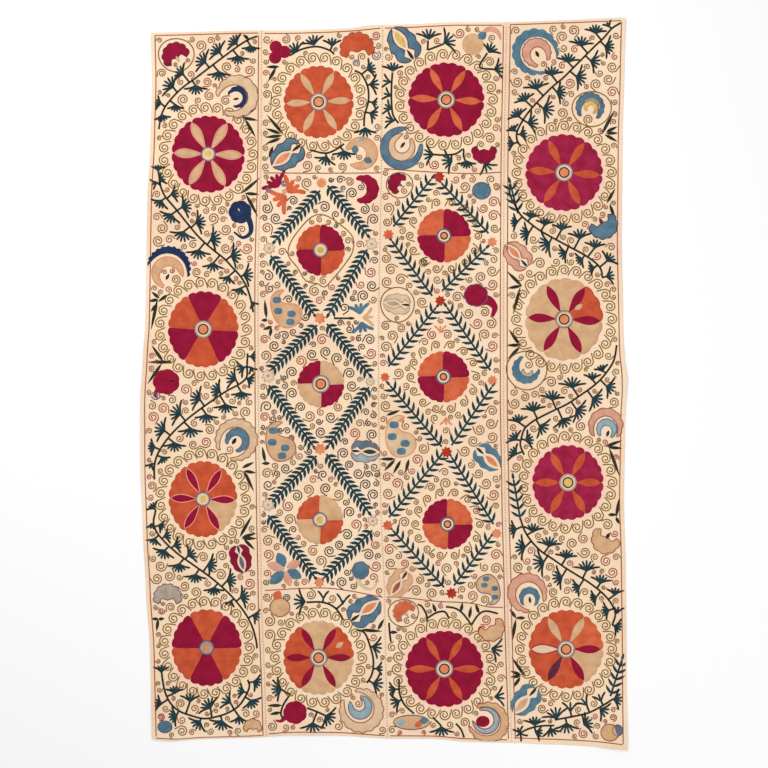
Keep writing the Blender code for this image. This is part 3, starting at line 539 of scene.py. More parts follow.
DIVIDERS = (
    ((-38.5, 67.5), (-20, 67.4), (-1, 67.5)), ((0, 68.9), (10, 68.1), (27, 67.3), (37.5, 67.7)),
    ((-38, -66), (-21, -65.2), (-12, -66), (-5, -67.3), (-0.5, -68.2)),
    ((0.8, -68.1), (8, -68.5), (17, -69.5), (27, -70), (33, -71.2), (38, -71.5)),
)


def screen_to_linear(colour):
    shares = np.array(colour) / 255
    return np.where(shares <= 0.04045, shares / 12.92, ((shares + 0.055) / 1.055) ** 2.4)


def read_line(line, places):
    """The line's value at each place, on a smooth curve through its points that doesn't overshoot them."""
    keys, values = np.array(line).T
    places = np.clip(places, keys[0], keys[-1])
    before = np.clip(np.searchsorted(keys, places, side="right") - 1, 0, len(keys) - 2)
    share = (places - keys[before]) / (keys[before + 1] - keys[before])
    eased = share * share * (3 - 2 * share)
    return values[before] + (values[before + 1] - values[before]) * (share + eased) / 2


def lift_off(x, y):
    """How high the underside of the cloth is above the surface: its ripples and its soft creases."""
    ripple = np.zeros_like(x)
    for centre_x, centre_y, half_width, half_length, top in RIPPLES:
        away = ((x - centre_x) / half_width) ** 2 + ((y - centre_y) / half_length) ** 2
        ripple = np.maximum(ripple, top * np.clip(1 - away, 0, None) ** 2)
    for centre_x, centre_y, direction, half_length, half_width, top in CREASES:
        turn = math.radians(direction)
        along = (x - centre_x) * math.cos(turn) + (y - centre_y) * math.sin(turn)
        across = (y - centre_y) * math.cos(turn) - (x - centre_x) * math.sin(turn)
        away = (along / half_length) ** 2 + (across / half_width) ** 2
        ripple = ripple + top * np.clip(1 - away, 0, None) ** 2
    return ripple


def smooth(points, step, closed=False):
    """Places about a step apart on a smooth curve through the points."""
    corners = np.array(points, float)
    if closed:
        corners = np.vstack((corners[-1:], corners, corners[:2]))
    else:
        corners = np.vstack((2 * corners[:1] - corners[1:2], corners, 2 * corners[-1:] - corners[-2:-1]))
    runs = []
    for a, b, c, d in zip(corners, corners[1:], corners[2:], corners[3:]):
        count = max(1, round(math.dist(b, c) / step))
        t = np.arange(count)[:, None] / count
        bend, twist = 2 * a - 5 * b + 4 * c - d, 3 * (b - c) + d - a
        runs.append(0.5 * (2 * b + (c - a) * t + bend * t ** 2 + twist * t ** 3))
    if not closed:
        runs.append(corners[-2:-1])
    return np.vstack(runs)


def side_of(path, closed=False):
    """The unit direction to the left of a path at each of its points."""
    if closed:
        run = np.roll(path, -1, 0) - np.roll(path, 1, 0)
    else:
        run = np.gradient(path, axis=0)
    run = run / np.maximum(np.linalg.norm(run, axis=1), 1e-9)[:, None]
    return np.column_stack((-run[:, 1], run[:, 0]))


def turned(points, degrees):
    turn = math.radians(degrees)
    x, y = np.array(points, float).T
    return np.column_stack((x * math.cos(turn) - y * math.sin(turn), x * math.sin(turn) + y * math.cos(turn)))


def heading(degrees):
    return np.array((math.cos(math.radians(degrees)), math.sin(math.radians(degrees))))


class Silk:
    """The stitching of one slot on one strip: a joined mesh, with the run of its threads and their two tones."""

    def __init__(self):
        self.corners, self.faces, self.runs, self.tones, self.count = [], [], [], [], 0

    def add(self, corners, faces, runs, thread):
        main, second = (screen_to_linear(colour) for colour in THREADS[thread])
        self.corners.append(corners)
        self.faces += [tuple(corner + self.count for corner in face) for face in faces]
        self.runs.append(runs)
        self.tones.append(np.tile(np.concatenate((main, second)), (len(corners), 1)))
        self.count += len(corners)


silk = {}
sewn_places = []


def strip_at(x, y):
    """The name of the strip under a place in metres."""
    name = "strip_left_border"
    for seam, beyond in ((LEFT_SEAM, "strip_centre_left"), (CENTRE_SEAM, "strip_centre_right"),
                         (RIGHT_SEAM, "strip_right_border")):
        if x > read_line(seam, y):
            name = beyond
    return name


def folds_at(x, y):
    """How much thicker the cloth is at each place, over its turned hems and its seams."""
    hem = np.minimum.reduce((x - read_line(LEFT_EDGE, y), read_line(RIGHT_EDGE, y) - x,
                             y - read_line(BOTTOM_EDGE, x), read_line(TOP_EDGE, x) - y))
    seam = np.minimum.reduce([np.abs(x - read_line(line, y)) for line in (LEFT_SEAM, CENTRE_SEAM, RIGHT_SEAM)])
    over_hem = HEM_RISE * np.clip((HEM_WIDTH + FOLD_STEP - hem) / FOLD_STEP, 0, 1)
    return np.maximum(over_hem, SEAM_RISE * np.clip((SEAM_FOLD_WIDTH + FOLD_STEP - seam) / FOLD_STEP, 0, 1))


def sew(plan, lifts, faces, runs, thread):
    """Lays a piece of stitching on the cloth. The plan and the runs are in centimetres, the lifts in metres."""
    x, y = (np.array(plan) * CM).T
    x = np.clip(x, read_line(LEFT_EDGE, y) + EDGE_KEEP, read_line(RIGHT_EDGE, y) - EDGE_KEEP)
    y = np.clip(y, read_line(BOTTOM_EDGE, x) + EDGE_KEEP, read_line(TOP_EDGE, x) - EDGE_KEEP)
    z = lift_off(x, y) + CLOTH_THICKNESS + folds_at(x, y) + lifts
    place = strip_at(x.mean(), y.mean())
    work = silk.setdefault((place, SLOTS[thread]), Silk())
    work.add(np.column_stack((x, y, z)), faces, np.array(runs) * CM, thread)
    sewn_places.append(np.array(plan))


def even(share):
    return np.ones_like(share)


def leaf_like(share):
    return np.clip(np.sin(math.pi * share ** 0.8), 0.06, 1) ** 0.7


def finger_like(share):
    return np.where(share >= 1, 0.65, 0.8 + 0.2 * share)


def tail_like(share):
    return 1 - 0.7 * share


def ribbon(points, thread, width, height=OUTLINE_HEIGHT, profile=LINE_PROFILE, taper=even, layer=0, step=0.6,
           closed=False):
    """A line of couched silk along a smooth path."""
    path = smooth(points, step, closed)
    size = np.ones(len(path)) if closed else taper(np.linspace(0, 1, len(path)))
    if not closed:
        ends = np.array((path[0] - path[1], path[-1] - path[-2]))
        ends *= END_STEP / np.linalg.norm(ends, axis=1)[:, None]
        path = np.vstack((path[0] + ends[0], path, path[-1] + ends[1]))
        size = np.concatenate((size[:1] * 0.8, size, size[-1:] * 0.8))
    count, wide = len(path), len(profile)
    across = width / 2 * size[:, None] * np.array([place for place, _ in profile])[None]
    plan = path[:, None] + side_of(path, closed)[:, None] * across[..., None]
    rise = np.array([share_up for _, share_up in profile])[None] * (0.5 + 0.5 * size[:, None])
    if not closed:
        rise[[0, -1]] = 0
    lifts = rise * (height + PAD_SINK) - PAD_SINK + layer * LAYER_STEP * (rise > 0)
    gaps = np.linalg.norm(np.diff(path, axis=0), axis=1)
    along = np.concatenate(((0,), np.cumsum(gaps)))
    runs = np.stack((np.repeat(along[:, None], wide, 1), across), axis=-1)
    faces = []
    for row in range(count if closed else count - 1):
        here, there = row * wide, (row + 1) % count * wide
        faces += [(here + k + 1, here + k, there + k, there + k + 1) for k in range(wide - 1)]
    sew(plan.reshape(-1, 2), lifts.ravel(), faces, runs.reshape(-1, 2), thread)


def leaf(x, y, angle, length, width, thread, bend=0, taper=leaf_like, layer=0):
    """A leaf or a finger of a sprig, from its root."""
    ahead, left = heading(angle), heading(angle + 90)
    root = np.array((x, y))
    points = [root, root + ahead * length / 2 + left * bend * length / 2, root + ahead * length]
    ribbon(points, thread, width, LEAF_HEIGHT, LEAF_PROFILE, taper, layer, step=length / 4)


def inside(places, outline):
    """Which places lie within a closed outline."""
    x, y = places[:, :1], places[:, 1:]
    start, end = outline, np.roll(outline, -1, 0)
    crosses = (start[:, 1] > y) != (end[:, 1] > y)
    rise = np.where(end[:, 1] == start[:, 1], 1e-9, end[:, 1] - start[:, 1])
    meet = start[:, 0] + (y - start[:, 1]) * (end[:, 0] - start[:, 0]) / rise
    return (crosses & (x < meet)).sum(axis=1) % 2 == 1


def pad(outline, thread, grain=90, height=PAD_HEIGHT, layer=0, bevel=0.22, fill_step=1.1):
    """A filled shape in couched silk, whose threads run at the grain's angle."""
    area = np.sum(outline[:, 0] * np.roll(outline[:, 1], -1) - outline[:, 1] * np.roll(outline[:, 0], -1))
    if area < 0:
        outline = outline[::-1]
    inner = outline + side_of(outline, True) * bevel
    low, high = inner.min(axis=0), inner.max(axis=0)
    grid = np.stack(np.meshgrid(np.arange(low[0], high[0], fill_step), np.arange(low[1], high[1], fill_step)), -1)
    grid = grid.reshape(-1, 2)
    if len(grid):
        grid = grid[inside(grid, inner)]
        gaps = np.linalg.norm(grid[:, None] - inner[None], axis=-1).min(axis=1) if len(grid) else np.zeros(0)
        grid = grid[gaps > fill_step / 3]
    count = len(outline)
    flat = [Vector(place) for place in np.vstack((inner, grid))]
    edges = [(k, (k + 1) % count) for k in range(count)]
    made, _, faces, origins, _, _ = delaunay_2d_cdt(flat, edges, [], CDT_TRIANGLES, CDT_EPSILON)
    top = np.array([tuple(place) for place in made])
    ring_place = {origin: k for k, found in enumerate(origins) for origin in found if origin < count}
    first = len(top)
    plan = np.vstack((top, outline))
    on_ring = np.zeros(len(plan), bool)
    on_ring[list(ring_place.values())] = True
    lifts = np.where(on_ring, 0.85, 1.0) * height + layer * LAYER_STEP
    lifts[first:] = -PAD_SINK
    walls = []
    for k in range(count):
        beyond = (k + 1) % count
        walls.append((first + k, first + beyond, ring_place[beyond], ring_place[k]))
    sew(plan, lifts, list(faces) + walls, turned(plan, -grain), thread)


def scroll(x, y, radius, start, turns, handed, thread="ochre", width=SCROLL_WIDTH, tail=0.0):
    """A spiral line that winds in from its outer end. The start is the angle of that end."""
    count = max(6, round(9 * turns))
    share = np.arange(count + 1) / count
    angles = np.radians(start + handed * 360 * turns * share)
    radii = radius * (1 - 0.80 * share ** 0.9)
    points = np.column_stack((x + radii * np.cos(angles), y + radii * np.sin(angles)))
    if tail:
        back = heading(start - handed * 70) * tail + points[0]
        points = np.vstack((back, points))
    ribbon(points, thread, width, SCROLL_HEIGHT, step=9)


def scallops(x, y, half_width, half_length, count, depth, start=0.0, sweep=360.0, steps=7):
    """The outer edge of a scalloped round, from a start angle over a sweep."""
    share = np.linspace(0, 1, count * steps, endpoint=sweep < 360)
    bump = np.abs(np.sin(math.pi * share * count)) ** 0.6
    angles = np.radians(start + sweep * share)
    size = 1 - depth * (1 - bump)
    return np.column_stack((x + half_width * size * np.cos(angles), y + half_length * size * np.sin(angles)))


def eye(x, y, rings):
    """The round middle of a rosette: discs of thread on each other."""
    for layer, (thread, radius) in enumerate(rings):
        pad(scallops(x, y, radius, radius, 6, 0.0, steps=4), thread, 40, PAD_HEIGHT, layer + 2, 0.15, 9)


def rosette(row):
    x, y, half_width, half_length, turn, sectors, petals, petal_width, lobes, rings = row
    sweep = 360 / len(sectors)
    pad(scallops(x, y, half_width * 0.9, half_length * 0.9, 12, 0, steps=3), sectors[0], turn, 0.0007, 0, 0.12, 9)
    for number, thread in enumerate(sectors):
        start = turn + number * sweep
        rim = scallops(x, y, half_width, half_length, lobes, 0.055, start, sweep)
        hub = np.array([(x, y) + 1.2 * heading(start + sweep * share) for share in (0.9, 0.5, 0.1)])
        pad(np.vstack((rim, hub)), thread, start + sweep / 2, bevel=0.12, fill_step=1.6)
    for number, petal in enumerate(petals):
        thread, edge = petal if isinstance(petal, tuple) else (petal, petal)
        angle = turn + number * 360 / len(petals)
        bearing = math.radians(angle)
        reach = 0.93 / math.hypot(math.cos(bearing) / half_width, math.sin(bearing) / half_length)
        share = np.linspace(0, 1, 12)
        half = petal_width / 2 * np.sin(math.pi * share ** 1.4) ** 0.75
        away = 1.8 + (reach - 1.8) * share
        ahead, left = heading(angle), heading(angle + 90)
        upper = np.array([(x, y) + ahead * a + left * h for a, h in zip(away, half)])
        lower = np.array([(x, y) + ahead * a - left * h for a, h in zip(away, half)])[-2:0:-1]
        edged(np.vstack((upper, lower)), thread, edge, angle, 1)
    eye(x, y, rings)


def scroll_ring(x, y, half_width, half_length, count, size, turn=0.0, handed=1, thread="ochre"):
    """The running scrolls round a rosette, each rolled off the last."""
    for number in range(count):
        angle = turn + 360 * number / count
        centre = np.array((x, y)) + heading(angle) * (half_width, half_length)
        scroll(*centre, size, angle - handed * 95, 1.75, handed, thread, tail=size * 0.9)


def sprig(x, y, angle, length, fingers, thread="teal", outer_thread="olive", width=0.88):
    """A palm of leaf fingers, whose outer two reach furthest."""
    palm = length * 0.34
    spread = 40 + 16 * fingers
    rim = [(x, y) + palm * heading(turn) for turn in np.linspace(angle - spread / 2, angle + spread / 2, 7)]
    back = [(x, y) - heading(angle) * 0.35 + heading(angle + side) * 0.3 for side in (90, -90)]
    pad(np.array(rim + back), thread, angle, LEAF_HEIGHT, 0, 0.12, 9)
    for number, turn in enumerate(np.linspace(angle - spread / 2, angle + spread / 2, fingers)):
        outer = number in (0, fingers - 1)
        reach = length * (1.15 if outer else 0.85)
        bend = (0.14 if number == 0 else -0.14) if outer else 0.0
        start = np.array((x, y)) + heading(turn) * palm * 0.3
        leaf(*start, turn, reach - palm * 0.3, width, outer_thread if outer else thread, bend, finger_like)


def vine(stem, sprigs):
    """A stem with its sprigs, each led off from the stem's nearest place."""
    path = smooth(stem, 0.5) if stem else np.zeros((0, 2))
    if stem:
        ribbon(stem, "olive", STEM_WIDTH, STEM_HEIGHT, step=1.0)
    for x, y, angle, length, fingers in sprigs:
        if stem:
            gaps = np.hypot(path[:, 0] - x, path[:, 1] - y)
            if gaps.min() > STEM_WIDTH:
                ribbon((path[int(gaps.argmin())], (x, y)), "olive", STEM_WIDTH, STEM_HEIGHT, step=1.0)
        sprig(x, y, angle, length, fingers)


def feather(root, tip, spacing, length, width):
    """A stem with leaves in pairs that lean towards its tip."""
    root, tip = np.array(root, float), np.array(tip, float)
    run = tip - root
    reach = float(np.hypot(*run))
    angle = math.degrees(math.atan2(run[1], run[0]))
    ribbon((root, tip), "teal", STEM_WIDTH, STEM_HEIGHT, step=1.6)
    pairs = round(reach / spacing)
    for pair in range(pairs):
        place = root + run * (pair + 0.35) / (pairs + 0.2)
        for side in (-1, 1):
            leaf(*place, angle + side * 48, length, width, "teal", side * 0.05)
    leaf(*tip, angle, length * 0.7, width, "teal")


def star(x, y, radius, points, thread, edge):
    share = np.arange(points * 2)
    size = radius * np.where(share % 2, 0.68, 1.0)
    angles = np.radians(share * 180 / points + 12)
    outline = np.column_stack((x + size * np.cos(angles), y + size * np.sin(angles)))
    pad(outline, thread, 30, PAD_HEIGHT, 0, 0.18, 0.9)
    if edge != thread:
        ribbon(outline, edge, THIN_SCROLL_WIDTH, OUTLINE_HEIGHT, step=1.0, closed=True)
        pad(scallops(x, y, radius * 0.3, radius * 0.3, 6, 0, steps=1), edge, 0, PAD_HEIGHT, 1, 0.1, 9)


def edged(outline, thread, edge, grain, layer=0):
    """A filled shape with a line of another thread round it."""
    pad(outline, thread, grain, PAD_HEIGHT, layer)
    if edge != thread:
        gaps = np.linalg.norm(np.diff(outline, axis=0, append=outline[:1]), axis=1)
        kept = outline[gaps > 0.05]
        ribbon(kept, edge, OUTLINE_WIDTH, OUTLINE_HEIGHT, layer=layer, step=0.8, closed=True)


def almond(x, y, length, width, angle, thread, edge, layer=0):
    share = np.linspace(0, 1, 9)
    half = width / 2 * np.sin(math.pi * share) ** 0.8
    near_side, far_side = (np.column_stack((share * length, side * half)) for side in (-1, 1))
    places = np.vstack((near_side, far_side[-2:0:-1]))
    edged(turned(places, angle) + (x, y), thread, edge, angle, layer)


def fan(x, y, size, angle, lobes, thread, edge, seed):
    """A scalloped carnation, open towards its angle, with its stem in the notch."""
    rim = scallops(0, 0, size, size, lobes, 0.13, -112, 224, 6)
    notch = size * np.array(((-0.42, 0.62), (-0.04, 0.40), (-0.16, 0.0), (-0.04, -0.40), (-0.42, -0.62)))
    edged(turned(np.vstack((rim, notch)), angle) + (x, y), thread, edge, angle)
    if seed != thread:
        root = np.array((x, y)) - heading(angle) * size * 0.5
        almond(*root, size * 0.55, size * 0.26, angle, seed, seed, 1)


def crescent(x, y, radius, thickness, gap, opening, lobes, thread, edge):
    count = max(20, lobes * 5)
    share = np.linspace(0, 1, count)
    angles = np.radians(gap + opening / 2 + (360 - opening) * share)
    depth = 0.09 if lobes else 0.0
    bump = 1 - depth * (1 - np.abs(np.sin(math.pi * share * lobes)) ** 0.6)
    thick = thickness * np.sin(math.pi * np.clip(share, 0.015, 0.985)) ** 0.5
    circle = np.column_stack((np.cos(angles), np.sin(angles)))
    outer = circle * (radius * bump)[:, None]
    inner = circle * (radius * 0.96 - thick)[:, None]
    edged(np.vstack((outer, inner[::-2])) + (x, y), thread, edge, gap + 90)


IRIS_LOBE = ((-0.92, 0.12), (-0.86, 0.55), (-0.55, 0.86), (-0.2, 0.80), (0.05, 0.92), (0.4, 0.74), (0.62, 0.72),
             (0.85, 0.42), (1.0, 0.06), (0.72, 0.26), (0.35, 0.40), (0.0, 0.34), (-0.3, 0.14), (-0.55, 0.40))
PAISLEY = ((0.0, -1.0), (0.48, -0.88), (0.76, -0.48), (0.66, 0.0), (0.26, 0.26), (0.04, 0.55), (0.16, 0.88),
           (0.50, 0.98), (0.18, 1.14), (-0.28, 1.02), (-0.60, 0.52), (-0.74, -0.22), (-0.52, -0.82))
# Where a paisley's patches lie: along it and away from its middle, for a size of 1.
PAISLEY_PATCHES = ((0.72, -0.12), (0.15, -0.36), (-0.35, 0.20), (-0.70, -0.08))


def iris(x, y, size, angle, upper, lower, edge, seed, root):
    """Two lobes either side of an almond, with a dark leaf at the root."""
    for side, thread in ((1, upper), (-1, lower)):
        lobe = smooth(np.array(IRIS_LOBE) * (size, side * size * 0.82), 1.0, True)
        edged(turned(lobe, angle) + (x, y), thread, edge, angle + 90)
    ahead = heading(angle)
    almond(*(np.array((x, y)) - ahead * size * 0.2), size * 1.0, size * 0.36, angle, seed, "cream", 1)
    leaf(*(np.array((x, y)) - ahead * size * 0.95), angle, size * 0.62, size * 0.20, root, 0, leaf_like, 1)


def paisley(x, y, size, turn, handed, thread, edge, patch):
    outline = smooth(np.array(PAISLEY) * (size * handed, size), 1.0, True)
    edged(turned(outline, turn) + (x, y), thread, edge, turn)
    if patch != thread:
        for along, away in PAISLEY_PATCHES:
            place = turned([(away * size * handed, along * size)], turn)[0] + (x, y)
            rim = scallops(*place, size * 0.28, size * 0.22, 4, 0.08, steps=3)
            pad(rim, patch, turn + 40, PAD_HEIGHT, 1, 0.15, 9)


def comma(x, y, half_width, half_length, thread, edge, tail, tail_thread, tail_width):
    """A scalloped round head with a curled tail that thins out."""
    ribbon(tail, tail_thread, tail_width, PAD_HEIGHT, LEAF_PROFILE, tail_like, step=0.8)
    edged(scallops(x, y, half_width, half_length, 7, 0.07), thread, edge, 60)


def halo(x, y, half_width, half_length, thread):
    share = np.radians(np.arange(0, 360, 24))
    wave = 1 + 0.02 * np.sin(3 * share)
    ring = np.column_stack((x + half_width * wave * np.cos(share), y + half_length * wave * np.sin(share)))
    ribbon(ring, thread, SCROLL_WIDTH, SCROLL_HEIGHT, step=1.4, closed=True)


def frame_line(line, start, end, shift, upright):
    """A faded red line that runs beside an edge or a seam."""
    places = np.linspace(start, end, max(4, round((end - start) / 6)))
    values = read_line(line, places * CM) / CM + shift
    path = np.column_stack((values, places) if upright else (places, values))
    ribbon(path, "russet", OUTLINE_WIDTH * 1.15, SCROLL_HEIGHT, step=1.2)


def seam_stitches(line):
    """The small slanting stitches that whip two strips together."""
    for number, y in enumerate(np.arange(line[0][0] + 0.02, line[-1][0] - 0.02, SEAM_STITCH_STEP)):
        x = float(read_line(line, y))
        lean = SEAM_STITCH_LEAN if number % 2 else -SEAM_STITCH_LEAN
        ends = ((x - SEAM_STITCH_REACH, y - lean), (x + SEAM_STITCH_REACH, y + lean))
        ribbon(np.array(ends) / CM, "thread", 0.14, SEAM_STITCH_HEIGHT, step=0.35)


def scroll_fill():
    """Scrolls of falling size wherever the ground is still bare, each led off from its neighbour."""
    across = np.arange(-77, 77.1, FILL_GRID)
    along = np.arange(-115, 116, FILL_GRID)
    places = np.stack(np.meshgrid(across, along), -1).reshape(-1, 2)
    sewn = np.vstack(sewn_places)
    tree = kdtree.KDTree(len(sewn))
    for number, (x, y) in enumerate(sewn):
        tree.insert((x, y, 0), number)
    tree.balance()
    room = np.array([tree.find((x, y, 0))[2] for x, y in places])
    x, y = (places * CM).T
    inside_cloth = (x > read_line(LEFT_EDGE, y) + EDGE_ROOM) & (x < read_line(RIGHT_EDGE, y) - EDGE_ROOM)
    inside_cloth &= (y > read_line(BOTTOM_EDGE, x) + EDGE_ROOM) & (y < read_line(TOP_EDGE, x) - EDGE_ROOM)
    for seam in (LEFT_SEAM, CENTRE_SEAM, RIGHT_SEAM):
        room = np.minimum(room, np.abs(x - read_line(seam, y)) / CM)
    for row in ROSETTES:
        inside_cloth &= np.hypot((places[:, 0] - row[0]) / row[2], (places[:, 1] - row[1]) / row[3]) > 1
    room[~inside_cloth] = 0
    number = 0
    while room.max() > FILL_SMALLEST + FILL_MARGIN and number < FILL_MOST:
        at = int(np.argmax(room > min(room.max() * 0.98, FILL_LARGEST + FILL_MARGIN)))
        centre = places[at]
        radius = min(room[at] - FILL_MARGIN, FILL_LARGEST)
        near = tree.find((*centre, 0))[0]
        start = math.degrees(math.atan2(near[1] - centre[1], near[0] - centre[0]))
        handed = 1 if number % 2 else -1
        dark = strip_at(*(centre * CM)) == "strip_centre_left" and -66 < centre[1] < 64
        threads = ("brown", "ochre", "brown", "russet") if dark else ("ochre", "ochre", "ochre", "russet")
        turns = 1.9 if radius > 1.5 else 1.5
        width = THIN_SCROLL_WIDTH + 0.06 * radius
        scroll(*centre, radius, start, turns, handed, threads[number % 4], width, tail=radius * 0.5)
        away = np.linalg.norm(places - centre, axis=1) - radius
        room = np.minimum(room, np.maximum(away, 0))
        number += 1


def embroider():
    for row in ROSETTES:
        rosette(row)
    for x, y, half_width, half_length, size, count, handed in SCROLL_RINGS:
        scroll_ring(x, y, half_width, half_length, count, size, 0.0, handed)
    for row in HALOES:
        halo(*row)
    for stem, sprigs in VINES:
        vine(stem, sprigs)
    for x, y, angle, length in LEAVES:
        leaf(x, y, angle, length, 1.3, "olive")
    for root, tip in DENSE_FEATHERS:
        feather(root, tip, 1.75, 3.0, 1.25)
    for root, tip in SLIM_FEATHERS:
        feather(root, tip, 2.4, 3.4, 1.1)
    for row in STARS:
        star(*row)
    for row in CRESCENTS:
        crescent(*row)
    for row in FANS:
        fan(*row)
    for x, y, half_width, half_length, lobes, thread, edge in DISCS:
        edged(scallops(x, y, half_width, half_length, lobes, 0.0, steps=14), thread, edge, 60)
    for row in IRISES:
        iris(*row)
    for row in PAISLEYS:
        paisley(*row)
    for row in COMMAS:
        comma(*row)
    for x, y, angle, length, fingers, thread, width in TULIPS:
        sprig(x, y, angle, length, fingers, thread, thread, width)
    for x, y, angle, length, width, thread in PETALS:
        almond(x, y, length, width, angle, thread, thread, 1)
    for x, y, radius, start, handed, thread in CURLS:
        scroll(x, y, radius, start, 1.8, handed, thread, SCROLL_WIDTH)
    for number, (x, y, radius) in enumerate(DARK_CURLS):
        handed = 1 if number % 2 else -1
        scroll(x, y, radius, 40 * number, 1.5, handed, "brown", SCROLL_WIDTH, tail=radius * 0.5)
    ribbon(LOOP, "ochre", SCROLL_WIDTH, SCROLL_HEIGHT, step=1.4, closed=True)
    for row in FRAME_LINES:
        frame_line(*row)
    for divider in DIVIDERS:
        ribbon(divider, "russet", OUTLINE_WIDTH * 1.15, SCROLL_HEIGHT, step=1.2)
    scroll_fill()
    for seam in (LEFT_SEAM, CENTRE_SEAM, RIGHT_SEAM):
        seam_stitches(seam)


def strip_sheet(name, left_line, right_line, left_hem, right_hem):
    """One loom width as a thin sheet on its solid's folds, thicker where it is turned under."""
    middle = float(read_line(right_line, 0.0) - read_line(left_line, 0.0))
    columns = turned_places(middle, left_hem, right_hem)
    length = TOP_EDGE[0][1] - BOTTOM_EDGE[0][1]
    rows = turned_places(length, HEM_WIDTH, HEM_WIDTH)
    across, along = np.meshgrid(columns / middle, rows / length)
    y = BOTTOM_EDGE[0][1] + length * along
    left = read_line(left_line, y) + (SEAM_GAP / 2 if left_hem is SEAM_FOLD_WIDTH else 0)
    right = read_line(right_line, y) - (SEAM_GAP / 2 if right_hem is SEAM_FOLD_WIDTH else 0)
    x = left + (right - left) * across
    bottom, top = read_line(BOTTOM_EDGE, x), read_line(TOP_EDGE, x)
    y = bottom + (top - bottom) * along
    thickness = CLOTH_THICKNESS + fold_rise(columns, middle, left_hem, right_hem)[None] * np.ones((len(rows), 1))
    thickness = np.maximum(thickness, CLOTH_THICKNESS + fold_rise(rows, length, HEM_WIDTH, HEM_WIDTH)[:, None])
    edge = np.minimum(edge_round(columns, middle)[None], edge_round(rows, length)[:, None])
    base = lift_off(x, y)
    upper = np.stack((x, y, base + thickness * (0.5 + 0.5 * edge)), -1).reshape(-1, 3)
    under = np.stack((x, y, base + thickness * (0.5 - 0.5 * edge) * 0.4), -1).reshape(-1, 3)
    wide, long = len(columns), len(rows)
    places = np.arange(wide * long).reshape(long, wide)
    a, b, c, d = (part.ravel() for part in (places[:-1, :-1], places[:-1, 1:], places[1:, 1:], places[1:, :-1]))
    below = wide * long
    faces = np.column_stack((a, b, c, d)).tolist() + (np.column_stack((d, c, b, a)) + below).tolist()
    rim = np.concatenate((places[0], places[1:, -1], places[-1, -2::-1], places[-2:0:-1, 0]))
    faces += [(p + below, q + below, q, p) for p, q in zip(rim.tolist(), np.roll(rim, -1).tolist())]
    mesh = bpy.data.meshes.new("cotton_" + name)
    mesh.from_pydata(np.vstack((upper, under)).tolist(), [], faces)
    made = bpy.data.objects.new("cotton_" + name, mesh)
    bpy.context.scene.collection.objects.link(made)
    return made, (middle, float(np.mean(read_line(TOP_EDGE, x[0]) - read_line(BOTTOM_EDGE, x[0]))))


def turned_places(length, start_fold, end_fold):
    """Places across a strip: close together at its rounded edges and turned folds, and even between them."""
    count = round((length - start_fold - end_fold - 2 * FOLD_STEP) / GROUND_STEP)
    inner = np.linspace(start_fold + FOLD_STEP, length - end_fold - FOLD_STEP, count + 1)
    start = (0.0, EDGE_ROUND, start_fold / 2, start_fold)
    end = (length - end_fold, length - end_fold / 2, length - EDGE_ROUND, length)
    return np.concatenate((start, inner, end))


def fold_rise(places, length, start_fold, end_fold):
    """How much thicker the cloth is over its turned folds."""
    start_rise = SEAM_RISE if start_fold is SEAM_FOLD_WIDTH else HEM_RISE
    end_rise = SEAM_RISE if end_fold is SEAM_FOLD_WIDTH else HEM_RISE
    start = np.clip((start_fold + FOLD_STEP - places) / FOLD_STEP, 0, 1) * start_rise
    end = np.clip((places - (length - end_fold - FOLD_STEP)) / FOLD_STEP, 0, 1) * end_rise
    return np.maximum(start, end)


def edge_round(places, length):
    """0 at the very edge of a strip and 1 inside it."""
    return np.clip(np.minimum(places, length - places) / EDGE_ROUND, 0, 1)


def tint_of(x, y):
    """Where dye has bled pink round the red rosettes and where silk oil has yellowed the cotton, as two shares."""
    pink, yellow = np.zeros_like(x), np.zeros_like(x)
    for centre_x, centre_y, half_width, half_length, _, sectors, *_ in ROSETTES:
        away = np.hypot((x / CM - centre_x) / half_width, (y / CM - centre_y) / half_length)
        red = sum(thread in ("crimson", "rose") for thread in sectors) / len(sectors)
        pink = np.maximum(pink, red * np.clip(1 - np.abs(away - 1.0) / 0.14, 0, 1))
        yellow = np.maximum(yellow, np.clip(1 - np.abs(away - 1.28) / 0.24, 0, 1))
    return pink, yellow


def paint_ground(sheet):
    mesh = sheet.data
    corners = np.empty(len(mesh.vertices) * 3, np.float32)
    mesh.vertices.foreach_get("co", corners)
    x, y, _ = corners.reshape(-1, 3).T.astype(float)
    pink, yellow = tint_of(x, y)
    tint = mesh.color_attributes.new("stain", "FLOAT_COLOR", "POINT")
    tint.data.foreach_set("color", np.column_stack((pink, yellow, np.zeros_like(x), np.ones_like(x))).ravel())


def make_silk(place, slot, work, material):
    """The joined mesh of one silk on one strip."""
    name = f"{slot}_on_{place}"
    mesh = bpy.data.meshes.new(name)
    mesh.from_pydata(np.vstack(work.corners).tolist(), [], work.faces)
    tones = np.vstack(work.tones)
    for layer, columns in (("thread", slice(0, 3)), ("thread_shade", slice(3, 6))):
        paint = mesh.color_attributes.new(layer, "FLOAT_COLOR", "POINT")
        paint.data.foreach_set("color", np.column_stack((tones[:, columns], np.ones(len(tones)))).ravel())
    corner_of = np.empty(len(mesh.loops), np.int32)
    mesh.loops.foreach_get("vertex_index", corner_of)
    runs = mesh.uv_layers.new(name="stitches")
    runs.data.foreach_set("uv", np.vstack(work.runs)[corner_of].ravel())
    mesh.materials.append(material)
    made = bpy.data.objects.new(name, mesh)
    bpy.context.scene.collection.objects.link(made)
    for chosen in bpy.context.selected_objects:
        chosen.select_set(False)
    made.select_set(True)
    bpy.context.view_layer.objects.active = made
    bpy.ops.object.shade_smooth_by_angle(angle=math.radians(50))
    return made


